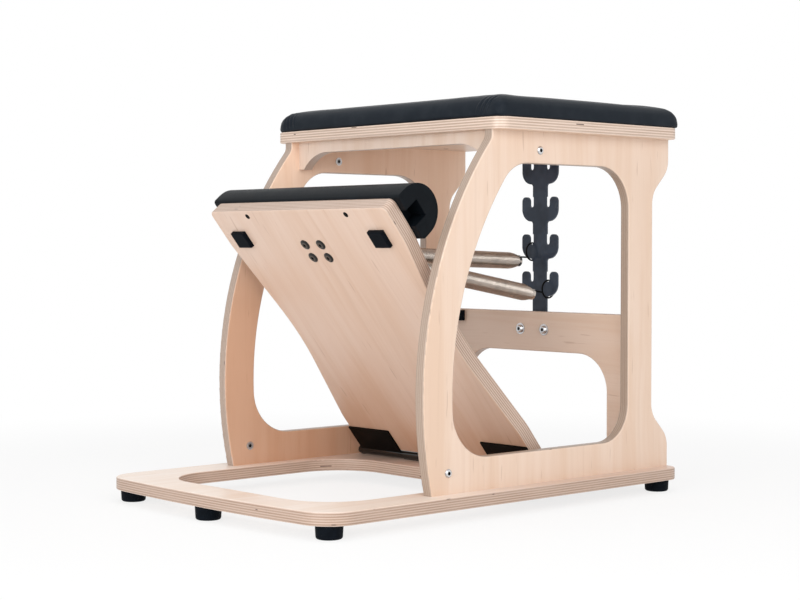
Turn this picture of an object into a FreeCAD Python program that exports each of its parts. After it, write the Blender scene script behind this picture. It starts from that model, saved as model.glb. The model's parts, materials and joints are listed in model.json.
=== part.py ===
import FreeCAD, Part
import math
import os

# A pilates chair: a plywood frame with a padded seat, a sprung foot pedal hinged to the base,
# and a slotted post behind that the two springs hang on. Millimetres, +Z up, the front faces -Y,
# and the origin is on the floor under the middle of the base.

V = FreeCAD.Vector
X = V(1, 0, 0)
Y = V(0, 1, 0)
Z = V(0, 0, 1)
ORIGIN = V(0, 0, 0)
FULL_TURN = 360.0

# Overall frame
BASE_WIDTH = 561.0
BASE_LENGTH = 790.0
BASE_THICKNESS = 20.0
FOOT_HEIGHT = 21.0
PANEL_HEIGHT = 550.0
PANEL_SIDE_MARGIN = 27.5
PANEL_THICKNESS = 18.0
SEAT_SIDE_OVERHANG = 22.0
SEAT_DEPTH = 429.0
SEAT_REAR_INSET = 1.0
SEAT_CORNER_RADIUS = 21.0
SEAT_BOARD_THICKNESS = 19.0
GROOVE_DEPTH = 3.0
GROOVE_GAP = 0.8
EDGE_ROUND = 2.0
OVERRUN = 5.0

# Base board
FRONT_BOW = 14.0
FRONT_CORNER_RADIUS = 54.0
REAR_CORNER_RADIUS = 28.0
FRONT_RAIL_DEPTH = 67.0
SIDE_RAIL_WIDTH = 70.5
DECK_LIP = 51.0
DECK_BOW = 6.0
BASE_OPENING_RADIUS = 87.0

# Side panels: the front edge is one large arc that swells ahead of the seat
PANEL_BULGE = 140.0
BULGE_HEIGHT = 143.0
FRONT_ARC_RADIUS = 611.0
FRONT_SHOULDER_RADIUS = 17.0
FRAME_BAND = 62.0
TOP_RAIL = 50.0
BOTTOM_RAIL = 51.0
PANEL_OPENING_REAR_RADIUS = 68.0
PANEL_OPENING_FRONT_RADIUS = 62.0
PANEL_OPENING_TOE_RADIUS = 75.0
PANEL_OPENING_HEEL_RADIUS = 60.0
PANEL_EDGE_ROUND = 3.0
PANEL_FRONT_SETBACK = 4.0
PANEL_REAR_MARGIN = 3.6
WAIST_DEPTH = 41.4
WAIST_HEIGHT = 71.0
WAIST_RADIUS = 40.0

# Rear panel and front apron
REAR_PANEL_THICKNESS = 18.0
REAR_PANEL_SETBACK = 6.0
REAR_RAIL_DROP = 294.0
REAR_RAIL_HEIGHT = 70.0
REAR_LEG_WIDTH = 62.0
ARCH_RADIUS = 64.0
APRON_THICKNESS = 18.0
APRON_SETBACK = 21.0
APRON_DEPTH = 18.0
APRON_END_DEPTH = 46.0
APRON_END_LAND = 13.0
APRON_CURVE_RADIUS = 77.0

# Seat pad
PAD_EDGE_HEIGHT = 36.5
PAD_CROWN = 5.0
PAD_OVERHANG = 1.0
PAD_CORNER_RADIUS = 20.0
PAD_ROUND_WIDTH = 24.0
PAD_ROUND_HEIGHT = 28.0
PAD_TUCK = 2.0
PAD_SIDE_DRAW = 1.5
PAD_BACKING_THICKNESS = 9.0
PAD_BACKING_MARGIN = 22.0
PAD_BACKING_FIT = 0.3

# Rubber feet
FOOT_RADIUS = 20.5
FOOT_TAPER = 1.2
FOOT_ROUND = 4.0
FOOT_SIDE_INSET = 33.5
FOOT_FRONT_INSET = 45.0
FOOT_REAR_INSET = 4.5
FOOT_BOW_INSET = 1.5
FOOT_MIDDLE_OFFSET = 10.0
FOOT_BORE_RADIUS = 7.0
FOOT_SEAT_THICKNESS = 8.0

# Pedal, laid out flat in front of its hinge and then raised
PEDAL_REST_ANGLE = 51.0
HINGE_FROM_REAR = 274.5
HINGE_RISE = 8.0
PEDAL_LENGTH = 540.0
PEDAL_SIDE_GAP = 18.0
PEDAL_WAIST_DRAW = 31.5
PEDAL_THICKNESS = 24.0
PEDAL_HEEL = 9.5
PEDAL_HEEL_STRAIGHT = 84.0
PEDAL_WAIST_OFFSET = 5.0
PEDAL_HEAD_LENGTH = 68.0
PEDAL_HEEL_RADIUS = 90.0
PEDAL_WAIST_RADIUS = 380.0
PEDAL_HEAD_RADIUS = 110.0
PEDAL_CORNER_RADIUS = 10.0

# Hinge
BARREL_RADIUS = 7.0
HINGE_PIN_RADIUS = 4.0
RUNNING_FIT = 0.05
KNUCKLE_GAP = 0.5
HINGE_LEAF_WIDTH = 104.0
HINGE_LEAF_LENGTH = 57.0
HINGE_LEAF_THICKNESS = 3.0
HINGE_END_KNUCKLE = 8.5
HINGE_PLATE_DEPTH = 52.0
HINGE_SCREW_INSET = 16.0

# Pedal pad: a D-shaped roll with a square pocket in each end, on a batten
ROLL_SIDE_GAP = 7.0
ROLL_WIDTH = 85.0
ROLL_HEIGHT = 61.0
ROLL_TOP_OVERHANG = 4.0
ROLL_POCKET_WIDTH = 30.0
ROLL_POCKET_HEIGHT = 27.0
ROLL_POCKET_DEPTH = 32.0
ROLL_BATTEN_WIDTH = 50.0
ROLL_BATTEN_THICKNESS = 15.0
ROLL_BATTEN_END_GAP = 43.0
ROLL_BATTEN_EDGE = 7.0
ROLL_FIT = 0.4
ROLL_SCREW_END_GAP = 63.0
ROLL_SCREW_LENGTH = 34.0
ROLL_SCREW_EDGE = 8.0

# Rubber bumpers
PEDAL_BUMPER_WIDTH = 33.0
PEDAL_BUMPER_LENGTH = 30.0
PEDAL_BUMPER_SIDE_INSET = 47.0
PEDAL_BUMPER_INSET = 41.0
PEDAL_BUMPER_GAP = 0.6
PEDAL_BUMPER_BEVEL = 1.5
STOP_BUMPER_WIDTH = 26.0
STOP_BUMPER_HEIGHT = 19.0
STOP_BUMPER_THICKNESS = 10.0
STOP_BUMPER_SIDE_INSET = 51.0
STOP_BUMPER_DROP = 2.5

# Spring bracket on the pedal
BRACKET_WIDTH = 92.0
BRACKET_THICKNESS = 4.0
BRACKET_ROD_HEAD_INSET = 119.0
BRACKET_ROD_RISE = 15.7
BRACKET_ROD_RADIUS = 4.0
BRACKET_LUG_THICKNESS = 5.0
BRACKET_LUG_RADIUS = 9.0
BRACKET_HEEL_MARGIN = 12.0
BRACKET_BOLT_SPACING_X = 38.4
BRACKET_BOLT_SPACING_Y = 26.0
BRACKET_BOLT_HEAD_INSET = 82.0
BRACKET_BOLT_MARGIN = 11.0
BRACKET_RELIEF_FIT = 0.5

# Spring post: a flat steel plate with four pairs of upturned arms
POST_THICKNESS = 4.0
POST_TRUNK_WIDTH = 33.0
POST_SPAN = 85.0
POST_SLOT_WIDTH = 9.6
POST_SLOT_CENTRE = 19.4
POST_SLOT_DEPTH = 18.5
POST_WEB_HEIGHT = 25.0
POST_PITCH = 66.2
POST_LEVELS = 4
POST_TOP_SLOT_DROP = 43.5
POST_ARM_RADIUS = 22.0
POST_ARM_TIP_RADIUS = 8.0
POST_CROOK_RADIUS = 5.0
POST_FOOT_WIDTH = 84.0
POST_FOOT_HEIGHT = 50.0
POST_FOOT_DROP = 5.0
POST_FOOT_RADIUS = 8.0
POST_FLANGE_DEPTH = 40.0
POST_BOLT_SPACING = 57.0
POST_BOLT_DROP = 31.5

# Springs and their hooks
RING_WIRE_RADIUS = 1.5
RING_PLAY = 1.4
UPPER_TIP_REACH = 36.0
UPPER_TIP_DROP = 16.0
LOWER_TIP_REACH = 41.0
LOWER_TIP_DROP = 13.8
STEM_OFFSET_SHARE = 0.45
SPRING_OUTER_RADIUS = 14.0
SPRING_WIRE_RADIUS = 2.3
SPRING_END_RADIUS = 7.4
SPRING_TURNS = 48
SPRING_TAPER_TURNS = 3
SPRING_LEAD = 9.0
PLUG_RADIUS = 10.2
PLUG_THICKNESS = 5.0
PLUG_RIM = 0.4
FRONT_PLUG_GAP = 16.0
HOOK_PLAY = 0.4
HOOK_STEM_REACH = 44.0
HOOK_BULB_RADIUS = 5.6
HOOK_BULB_LENGTH = 5.0
HOOK_BORE_PLAY = 3.8

# Fasteners
SCREW_RADIUS = 2.4
SCREW_HEAD_RADIUS = 4.8
SCREW_HEAD_HEIGHT = 3.0
SCREW_TIP = 5.0
SCREW_FIT = 0.05
FRAME_SCREW_LENGTH = 52.0
APRON_SCREW_LENGTH = 32.0
PAD_SCREW_LENGTH = 25.0
FOOT_SCREW_LENGTH = 22.0
LEAF_SCREW_LENGTH = 18.0
POST_SCREW_LENGTH = 18.0
DOWEL_RADIUS = 4.0
DOWEL_LENGTH = 30.0
DOWEL_PANEL_DEPTH = 11.0
PANEL_BOLT_RADIUS = 3.0
PANEL_BOLT_HEAD_RADIUS = 6.5
PANEL_BOLT_HEAD_HEIGHT = 2.6
PANEL_NUT_RADIUS = 4.5
PANEL_NUT_FLANGE_RADIUS = 7.0
PANEL_NUT_FLANGE = 1.8
PANEL_NUT_WALL = 2.0
PANEL_BOLT_TOP_REACH = 110.0
PANEL_BOLT_TOP_DROP = 29.0
PANEL_BOLT_LOW_REACH = 51.5
PANEL_BOLT_LOW_RISE = 32.0
BOLT_RADIUS = 4.0
BOLT_HEAD_RADIUS = 7.0
BOLT_HEAD_HEIGHT = 4.0
BRACKET_HEAD_RADIUS = 9.0
BRACKET_HEAD_HEIGHT = 2.5
WASHER_RADIUS = 10.0
WASHER_THICKNESS = 1.6
NUT_RADIUS = 7.5
NUT_THICKNESS = 6.5
SOCKET_RADIUS = 2.9
SOCKET_DEPTH = 1.8

# Places worked out from the sizes above
half_width = BASE_WIDTH / 2
rear_y = BASE_LENGTH / 2
front_y = -BASE_LENGTH / 2
base_bottom = FOOT_HEIGHT
base_top = base_bottom + BASE_THICKNESS
seat_under = base_top + PANEL_HEIGHT
seat_top = seat_under + SEAT_BOARD_THICKNESS
seat_rear = rear_y - SEAT_REAR_INSET
seat_front = seat_rear - SEAT_DEPTH
panel_out = half_width - PANEL_SIDE_MARGIN
panel_in = panel_out - PANEL_THICKNESS
seat_half = panel_out + SEAT_SIDE_OVERHANG
panel_mid = panel_out - PANEL_THICKNESS / 2
panel_bottom = base_top - GROOVE_DEPTH
panel_top = seat_under + GROOVE_DEPTH - GROOVE_GAP
panel_rear = rear_y - PANEL_REAR_MARGIN
panel_front = seat_front + PANEL_FRONT_SETBACK
waist_y = panel_rear - WAIST_DEPTH
arc_y = seat_front - PANEL_BULGE + FRONT_ARC_RADIUS
arc_z = base_top + BULGE_HEIGHT
rear_panel_back = waist_y - REAR_PANEL_SETBACK
rear_panel_front = rear_panel_back - REAR_PANEL_THICKNESS
rail_top = seat_under - REAR_RAIL_DROP
apron_front = seat_front + APRON_SETBACK
hinge_y = rear_y - HINGE_FROM_REAR
hinge_z = base_top + HINGE_RISE
post_front = rear_panel_back
post_back = post_front + POST_THICKNESS
post_mid = post_front + POST_THICKNESS / 2
lower_level = POST_LEVELS - 1
upper_level = lower_level - 1
pedal_half = panel_in - PEDAL_SIDE_GAP
waist_reach = PEDAL_LENGTH / 2 + PEDAL_WAIST_OFFSET
rod_reach = PEDAL_LENGTH - BRACKET_ROD_HEAD_INSET
bolt_reach = PEDAL_LENGTH - BRACKET_BOLT_HEAD_INSET
roll_half = panel_in - ROLL_SIDE_GAP
batten_half = roll_half - ROLL_BATTEN_END_GAP
leaf_outer = pedal_half
leaf_inner = leaf_outer - HINGE_LEAF_WIDTH
ring_radius = math.hypot(POST_WEB_HEIGHT / 2, POST_THICKNESS / 2) + RING_PLAY + RING_WIRE_RADIUS
hook_radius = BRACKET_ROD_RADIUS + HOOK_PLAY + RING_WIRE_RADIUS


def block(x, y, z):
    """A box between low and high values on each axis."""
    return Part.makeBox(x[1] - x[0], y[1] - y[0], z[1] - z[0], V(x[0], y[0], z[0]))


def line(a, b):
    return Part.LineSegment(a, b).toShape()


def arc(a, middle, b):
    return Part.Arc(a, middle, b).toShape()


def prism(edges, sweep):
    """Sweep a closed outline straight along a vector."""
    return Part.Face(Part.Wire(edges)).extrude(sweep)


def polygon_prism(points, sweep):
    return Part.Face(Part.makePolygon(points + points[:1])).extrude(sweep)


def rod(start, direction, radius, length):
    return Part.makeCylinder(radius, length, start, direction)


def mirrored(shape):
    """The same piece on the other side of the chair."""
    return shape.mirror(ORIGIN, X)


def edge_near(shape, direction, place):
    """The straight edge along a direction that passes closest to a place."""
    def miss(edge):
        offset = edge.CenterOfMass - place
        return (offset - direction * offset.dot(direction)).Length

    straight = [e for e in shape.Edges if len(e.Vertexes) == 2 and e.Curve.TypeId == "Part::GeomLine"]
    along = [e for e in straight if abs(e.tangentAt(e.FirstParameter).dot(direction)) > 0.999]
    return min(along, key=miss)


def round_corners(shape, direction, radius, places):
    """Round the edges along a direction that pass nearest to the places."""
    return shape.makeFillet(radius, [edge_near(shape, direction, p) for p in places])


def round_rim(shape, direction, levels, radius, keep):
    """Round the outline edges that lie at the given levels along a direction."""
    chosen = []
    for edge in shape.Edges:
        ends = [direction.dot(edge.valueAt(p)) for p in (edge.FirstParameter, edge.LastParameter)]
        middle = direction.dot(edge.CenterOfMass)
        flat = max(ends + [middle]) - min(ends + [middle]) < EDGE_ROUND / 100
        if flat and min(abs(middle - level) for level in levels) < EDGE_ROUND / 100 and keep(edge):
            chosen.append(edge)
    return shape.makeFillet(radius, chosen)


def turned(profile, place, direction):
    """Turn a profile of (radius, height) pairs and stand it on a place along a direction."""
    outline = [V(r, 0, h) for r, h in profile]
    shape = Part.Face(Part.makePolygon(outline + outline[:1])).revolve(ORIGIN, Z, FULL_TURN)
    shape.Placement = FreeCAD.Placement(place, FreeCAD.Rotation(Z, direction))
    return shape


def wood_screw(place, direction, length, fit=0.0):
    """A countersunk screw with its head flush at the place; fit widens it into its own hole."""
    head = SCREW_HEAD_RADIUS + fit
    shank = SCREW_RADIUS + fit
    profile = [(0, 0), (head, 0), (shank, SCREW_HEAD_HEIGHT), (shank, length - SCREW_TIP), (0, length + fit)]
    return turned(profile, place, direction)


def hex_bar(place, direction, across, length):
    """A six-sided bar: across is its radius to the corners."""
    corners = [V(across * math.cos(i * math.pi / 3), across * math.sin(i * math.pi / 3), 0) for i in range(6)]
    bar = polygon_prism(corners, Z * length)
    bar.Placement = FreeCAD.Placement(place, FreeCAD.Rotation(Z, direction))
    return bar


def cap_bolt(place, direction, shank, head, head_height, length):
    """A bolt whose domed socket head stands on the place and whose shank runs along the direction."""
    shoulder_share = 0.72
    rim_share = 0.45
    profile = [(0, -head_height), (head * shoulder_share, -head_height), (head, -head_height * rim_share),
               (head, 0), (shank, 0), (shank, length), (0, length)]
    socket = hex_bar(place - direction * head_height, direction, SOCKET_RADIUS, SOCKET_DEPTH)
    return turned(profile, place, direction).cut(socket)


def hex_nut(place, direction, bore):
    """A nut standing on the place, on the outer side along the direction."""
    body = hex_bar(place, direction, NUT_RADIUS, NUT_THICKNESS)
    return body.cut(rod(place, direction, bore, NUT_THICKNESS))


def raised(shape):
    """Turn a piece from the flat pedal up to where the springs hold it at rest."""
    up = shape.copy()
    up.rotate(V(0, hinge_y, hinge_z), X, -PEDAL_REST_ANGLE)
    return up


def on_pedal(x, reach, rise):
    """A point on the flat pedal: reach ahead of the hinge, rise above its axis."""
    return V(x, hinge_y - reach, hinge_z + rise)


def raised_point(point):
    """Where a point of the flat pedal is at rest."""
    turn = FreeCAD.Rotation(X, -PEDAL_REST_ANGLE)
    pivot = V(0, hinge_y, hinge_z)
    return pivot + turn.multVec(point - pivot)


def frame_screw_places():
    """Screws up through the base into the panels and the rear legs, as (x, y)."""
    panel_shares = (0.12, 0.5, 0.88)
    arc_foot = arc_y - math.sqrt(FRONT_ARC_RADIUS ** 2 - (arc_z - panel_bottom) ** 2)
    ys = [arc_foot + (panel_rear - arc_foot) * share for share in panel_shares]
    places = [(side * panel_mid, y) for side in (-1, 1) for y in ys]
    leg_x = panel_in - REAR_LEG_WIDTH / 2
    return places + [(side * leg_x, rear_panel_front + REAR_PANEL_THICKNESS / 2) for side in (-1, 1)]


def seat_screw_places():
    """Screws down through the seat board into the panels, as (x, y)."""
    panel_shares = (0.14, 0.5, 0.86)
    ys = [seat_front + SEAT_DEPTH * share for share in panel_shares]
    return [(side * panel_mid, y) for side in (-1, 1) for y in ys]


def apron_screw_places():
    """Screws down through the seat board into the apron, as (x, y)."""
    apron_share = 0.55
    apron_mid = apron_front + APRON_THICKNESS / 2
    return [(side * panel_in * apron_share, apron_mid) for side in (-1, 0, 1)]


def seat_screws(fit=0.0):
    """All screws down through the seat board; fit widens them into their own holes."""
    long = [wood_screw(V(x, y, seat_top), -Z, FRAME_SCREW_LENGTH, fit) for x, y in seat_screw_places()]
    short = [wood_screw(V(x, y, seat_top), -Z, APRON_SCREW_LENGTH, fit) for x, y in apron_screw_places()]
    return long + short


def pad_screw_places():
    """Screws up through the seat board into the pad's backing, as (x, y)."""
    x_share = 0.705
    y_shares = (0.22, 0.78)
    return [(side * seat_half * x_share, seat_front + SEAT_DEPTH * y) for side in (-1, 1) for y in y_shares]


def foot_places():
    """Feet by name: three under the front rail and two at the rear corners."""
    x = half_width - FOOT_SIDE_INSET
    front = front_y + FOOT_FRONT_INSET
    rear = rear_y - FOOT_REAR_INSET - FOOT_RADIUS
    middle = front_y + FOOT_BOW_INSET + FOOT_RADIUS
    return {
        "foot_front_left": (-x, front), "foot_front_middle": (-FOOT_MIDDLE_OFFSET, middle),
        "foot_front_right": (x, front),
        "foot_rear_left": (-x, rear), "foot_rear_right": (x, rear),
    }


def panel_bolt_places():
    """The two socket bolts through each side panel, as (y, z)."""
    low_front = arc_y - FRONT_ARC_RADIUS
    return [(seat_front + PANEL_BOLT_TOP_REACH, seat_under - PANEL_BOLT_TOP_DROP),
            (low_front + PANEL_BOLT_LOW_REACH, base_top + PANEL_BOLT_LOW_RISE)]


def dowels():
    """Dowels along X between the side panels and the rear panel and apron, as (start, direction)."""
    leg_shares = (0.3, 0.86)
    rear_mid = rear_panel_front + REAR_PANEL_THICKNESS / 2
    rear = [(rear_mid, base_top + (rail_top - base_top) * share) for share in leg_shares]
    apron = [(apron_front + APRON_THICKNESS / 2, seat_under - APRON_END_DEPTH / 2)]
    tip = panel_in + DOWEL_PANEL_DEPTH
    return [(V(side * tip, y, z), X * -side) for side in (-1, 1) for y, z in rear + apron]


def dowel_holes():
    spare = SCREW_FIT
    return [rod(start - along * spare, along, DOWEL_RADIUS + spare, DOWEL_LENGTH + spare * 2)
            for start, along in dowels()]


def post_bolt_places():
    """Bolts through the rear rail and the foot of the post, as (x, z)."""
    z = rail_top - POST_BOLT_DROP
    return [(side * POST_BOLT_SPACING / 2, z) for side in (-1, 1)]


def post_flange_places():
    """Screws up through the post's top flange into the seat board, as (x, y)."""
    share = 0.55
    y = post_back + POST_FLANGE_DEPTH * share
    return [(side * POST_FOOT_WIDTH / 2 * share, y) for side in (-1, 1)]


def bracket_bolt_places():
    """The four bolts of the spring bracket, as (x, reach) on the flat pedal."""
    return [(sx * BRACKET_BOLT_SPACING_X / 2, bolt_reach + sy * BRACKET_BOLT_SPACING_Y / 2)
            for sx in (-1, 1) for sy in (-1, 1)]


def roll_screw_places():
    """Screws up through the pedal into the roll's batten, as (x, reach)."""
    reach = PEDAL_LENGTH + ROLL_TOP_OVERHANG - ROLL_BATTEN_EDGE - ROLL_SCREW_EDGE
    return [(side * (batten_half - ROLL_SCREW_END_GAP), reach) for side in (-1, 1)]


def leaf_screw_places():
    """Screws of one hinge leaf, as (x, reach) for the right-hand leaf."""
    xs = (leaf_inner + HINGE_SCREW_INSET, leaf_outer - HINGE_SCREW_INSET)
    reaches = (HINGE_LEAF_LENGTH - HINGE_SCREW_INSET / 2, HINGE_LEAF_LENGTH / 2)
    return [(x, reach) for x in xs for reach in reaches]


def plate_screw_places():
    """Screws of the hinge plate on the base deck, as (x, y)."""
    shares = (-0.86, -0.43, 0.0, 0.43, 0.86)
    return [(leaf_outer * share, hinge_y + HINGE_PLATE_DEPTH - HINGE_SCREW_INSET) for share in shares]


def side_panel():
    """The right-hand side panel, with its large rounded opening and rounded rims."""
    low_front = arc_y - math.sqrt(FRONT_ARC_RADIUS ** 2 - (arc_z - panel_bottom) ** 2)
    shoulder_z = arc_z + math.sqrt(FRONT_ARC_RADIUS ** 2 - (arc_y - panel_front) ** 2)
    step = WAIST_DEPTH / 2
    low = base_top + WAIST_HEIGHT
    high = seat_under - WAIST_HEIGHT
    bends = [(panel_rear, low - step), (waist_y, low + step),
             (waist_y, high - step), (panel_rear, high + step)]

    def at(y, z):
        return V(panel_in, y, z)

    path = [at(panel_front, shoulder_z), at(panel_front, panel_top), at(panel_rear, panel_top)]
    path += [at(y, z) for y, z in reversed(bends)]
    path += [at(panel_rear, panel_bottom), at(low_front, panel_bottom)]
    edges = [line(a, b) for a, b in zip(path, path[1:])]
    edges.append(arc(path[-1], at(arc_y - FRONT_ARC_RADIUS, arc_z), path[0]))
    sweep = X * PANEL_THICKNESS
    panel = prism(edges, sweep)
    panel = round_corners(panel, X, WAIST_RADIUS, [at(y, z) for y, z in bends])
    panel = round_corners(panel, X, FRONT_SHOULDER_RADIUS, [path[0]])

    inner = FRONT_ARC_RADIUS - FRAME_BAND
    floor = base_top + BOTTOM_RAIL
    roof = seat_under - TOP_RAIL
    back = waist_y - FRAME_BAND
    floor_front = at(arc_y - math.sqrt(inner ** 2 - (arc_z - floor) ** 2), floor)
    roof_front = at(arc_y - math.sqrt(inner ** 2 - (roof - arc_z) ** 2), roof)
    edges = [line(roof_front, at(back, roof)), line(at(back, roof), at(back, floor)),
             line(at(back, floor), floor_front), arc(floor_front, at(arc_y - inner, arc_z), roof_front)]
    opening = prism(edges, sweep)
    corners = [(at(back, roof), PANEL_OPENING_REAR_RADIUS), (roof_front, PANEL_OPENING_FRONT_RADIUS),
               (floor_front, PANEL_OPENING_TOE_RADIUS), (at(back, floor), PANEL_OPENING_HEEL_RADIUS)]
    for corner, radius in corners:
        opening = round_corners(opening, X, radius, [corner])
    panel = panel.cut(opening)

    def shows(edge):
        box = edge.BoundBox
        return panel_bottom + OVERRUN < box.ZMax and box.ZMin < panel_top - OVERRUN

    return round_rim(panel, X, (panel_in, panel_out), PANEL_EDGE_ROUND, shows)


def panel_bores():
    """The bolt bores of the right-hand panel."""
    radius = PANEL_NUT_RADIUS + SCREW_FIT
    return [rod(V(panel_in, y, z), X, radius, PANEL_THICKNESS) for y, z in panel_bolt_places()]


def base_board(panels):
    """The base: a ring in front with a bowed edge, and a solid deck behind that carries the hinge."""
    corner = front_y + FRONT_BOW
    left, right = -half_width, half_width

    def at(x, y):
        return V(x, y, base_bottom)

    edges = [arc(at(left, corner), at(0, front_y), at(right, corner)),
             line(at(right, corner), at(right, rear_y)), line(at(right, rear_y), at(left, rear_y)),
             line(at(left, rear_y), at(left, corner))]
    board = prism(edges, Z * BASE_THICKNESS)
    board = round_corners(board, Z, FRONT_CORNER_RADIUS, [at(left, corner), at(right, corner)])
    board = round_corners(board, Z, REAR_CORNER_RADIUS, [at(left, rear_y), at(right, rear_y)])

    hole = half_width - SIDE_RAIL_WIDTH
    near = front_y + FRONT_RAIL_DEPTH
    far = hinge_y - DECK_LIP
    edges = [line(at(-hole, near), at(hole, near)), line(at(hole, near), at(hole, far)),
             arc(at(hole, far), at(0, far - DECK_BOW), at(-hole, far)), line(at(-hole, far), at(-hole, near))]
    opening = prism(edges, Z * BASE_THICKNESS)
    corners = [at(-hole, near), at(hole, near), at(hole, far), at(-hole, far)]
    board = board.cut(round_corners(opening, Z, BASE_OPENING_RADIUS, corners))
    board = round_rim(board, Z, (base_bottom, base_top), EDGE_ROUND, lambda edge: True)
    for panel in panels:
        board = board.cut(panel)
    for x, y in frame_screw_places():
        board = board.cut(wood_screw(V(x, y, base_bottom), Z, FRAME_SCREW_LENGTH, SCREW_FIT))
    foot_seat = FOOT_HEIGHT - FOOT_SEAT_THICKNESS
    for x, y in foot_places().values():
        board = board.cut(wood_screw(V(x, y, foot_seat), Z, FOOT_SCREW_LENGTH, SCREW_FIT))
    for x, y in plate_screw_places():
        start = V(x, y, base_top + HINGE_LEAF_THICKNESS)
        board = board.cut(wood_screw(start, -Z, LEAF_SCREW_LENGTH, SCREW_FIT))
    return board


def seat_board():
    """The seat board, grooved underneath for the panels and bored for its screws."""
    board = block((-seat_half, seat_half), (seat_front, seat_rear), (seat_under, seat_top))
    corners = [V(x, y, seat_under) for x in (-seat_half, seat_half) for y in (seat_front, seat_rear)]
    board = round_corners(board, Z, SEAT_CORNER_RADIUS, corners)
    board = round_rim(board, Z, (seat_under, seat_top), EDGE_ROUND, lambda edge: True)
    for side in (-1, 1):
        xs = sorted((side * panel_in, side * panel_out))
        groove = block(xs, (panel_front, panel_rear), (seat_under, seat_under + GROOVE_DEPTH))
        board = board.cut(groove)
    for hole in seat_screws(SCREW_FIT):
        board = board.cut(hole)
    for x, y in pad_screw_places():
        board = board.cut(wood_screw(V(x, y, seat_under), Z, PAD_SCREW_LENGTH, SCREW_FIT))
    for x, y in post_flange_places():
        start = V(x, y, seat_under - POST_THICKNESS)
        board = board.cut(wood_screw(start, Z, POST_SCREW_LENGTH, SCREW_FIT))
    return board


def rear_panel():
    """The rear panel: a rail across the back on two legs, with an arch below it."""
    depth = (rear_panel_front, rear_panel_back)
    panel = block((-panel_in, panel_in), depth, (base_top, rail_top))
    reach = panel_in - REAR_LEG_WIDTH
    crown = rail_top - REAR_RAIL_HEIGHT
    arch = block((-reach, reach), depth, (base_top, crown))
    arch = round_corners(arch, Y, ARCH_RADIUS, [V(x, rear_panel_front, crown) for x in (-reach, reach)])
    panel = panel.cut(arch)

    def shows(edge):
        box = edge.BoundBox
        inside = max(abs(box.XMin), abs(box.XMax)) < panel_in - OVERRUN
        return (inside and box.ZMax > base_top + OVERRUN) or box.ZMin > rail_top - OVERRUN

    panel = round_rim(panel, Y, depth, EDGE_ROUND, shows)
    for x, y in frame_screw_places():
        panel = panel.cut(wood_screw(V(x, y, base_bottom), Z, FRAME_SCREW_LENGTH, SCREW_FIT))
    for x, z in post_bolt_places():
        panel = panel.cut(rod(V(x, rear_panel_front, z), Y, BOLT_RADIUS + SCREW_FIT, REAR_PANEL_THICKNESS))
    for hole in dowel_holes():
        panel = panel.cut(hole)
    return panel


def front_apron():
    """The apron under the seat's front edge, deeper at its ends."""
    crown = seat_under - APRON_DEPTH
    foot = seat_under - APRON_END_DEPTH
    land = panel_in - APRON_END_LAND
    rise = APRON_END_DEPTH - APRON_DEPTH
    swing = math.acos(1 - rise / APRON_CURVE_RADIUS)
    start = land - APRON_CURVE_RADIUS * math.sin(swing)
    half = swing / 2
    bend_x = start + APRON_CURVE_RADIUS * math.sin(half)
    bend_z = crown - APRON_CURVE_RADIUS * (1 - math.cos(half))

    def at(x, z):
        return V(x, apron_front, z)

    edges = [line(at(-panel_in, seat_under), at(panel_in, seat_under)),
             line(at(panel_in, seat_under), at(panel_in, foot)), line(at(panel_in, foot), at(land, foot)),
             arc(at(land, foot), at(bend_x, bend_z), at(start, crown)),
             line(at(start, crown), at(-start, crown)),
             arc(at(-start, crown), at(-bend_x, bend_z), at(-land, foot)),
             line(at(-land, foot), at(-panel_in, foot)), line(at(-panel_in, foot), at(-panel_in, seat_under))]
    apron = prism(edges, Y * APRON_THICKNESS)
    for hole in seat_screws(SCREW_FIT) + dowel_holes():
        apron = apron.cut(hole)
    return apron


def pad_outline(inset, z):
    """A rounded rectangle above the seat board whose sides are drawn in a little between its corners."""
    x = seat_half + PAD_OVERHANG - inset
    y0, y1 = seat_front - PAD_OVERHANG + inset, seat_rear + PAD_OVERHANG - inset
    r = max(PAD_CORNER_RADIUS - inset, PAD_CORNER_RADIUS / 2)
    mid = (y0 + y1) / 2
    nip = r * (1 - math.cos(math.pi / 4))
    draw = PAD_SIDE_DRAW
    corners = [(x - r, y0, x - nip, y0 + nip, x, y0 + r), (x, y1 - r, x - nip, y1 - nip, x - r, y1),
               (r - x, y1, nip - x, y1 - nip, -x, y1 - r), (-x, y0 + r, nip - x, y0 + nip, r - x, y0)]
    sides = [(x - draw, mid), (0, y1 - draw), (draw - x, mid), (0, y0 + draw)]
    edges = []
    for i, (ax, ay, bx, by, cx, cy) in enumerate(corners):
        follow = corners[(i + 1) % len(corners)]
        edges.append(arc(V(ax, ay, z), V(bx, by, z), V(cx, cy, z)))
        edges.append(arc(V(cx, cy, z), V(sides[i][0], sides[i][1], z), V(follow[0], follow[1], z)))
    return Part.Wire(edges)


def pad_backing():
    """The plywood board inside the seat pad, flush with its underside."""
    margin = PAD_BACKING_MARGIN
    return block((margin - seat_half, seat_half - margin), (seat_front + margin, seat_rear - margin),
                 (seat_top, seat_top + PAD_BACKING_THICKNESS))


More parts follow.
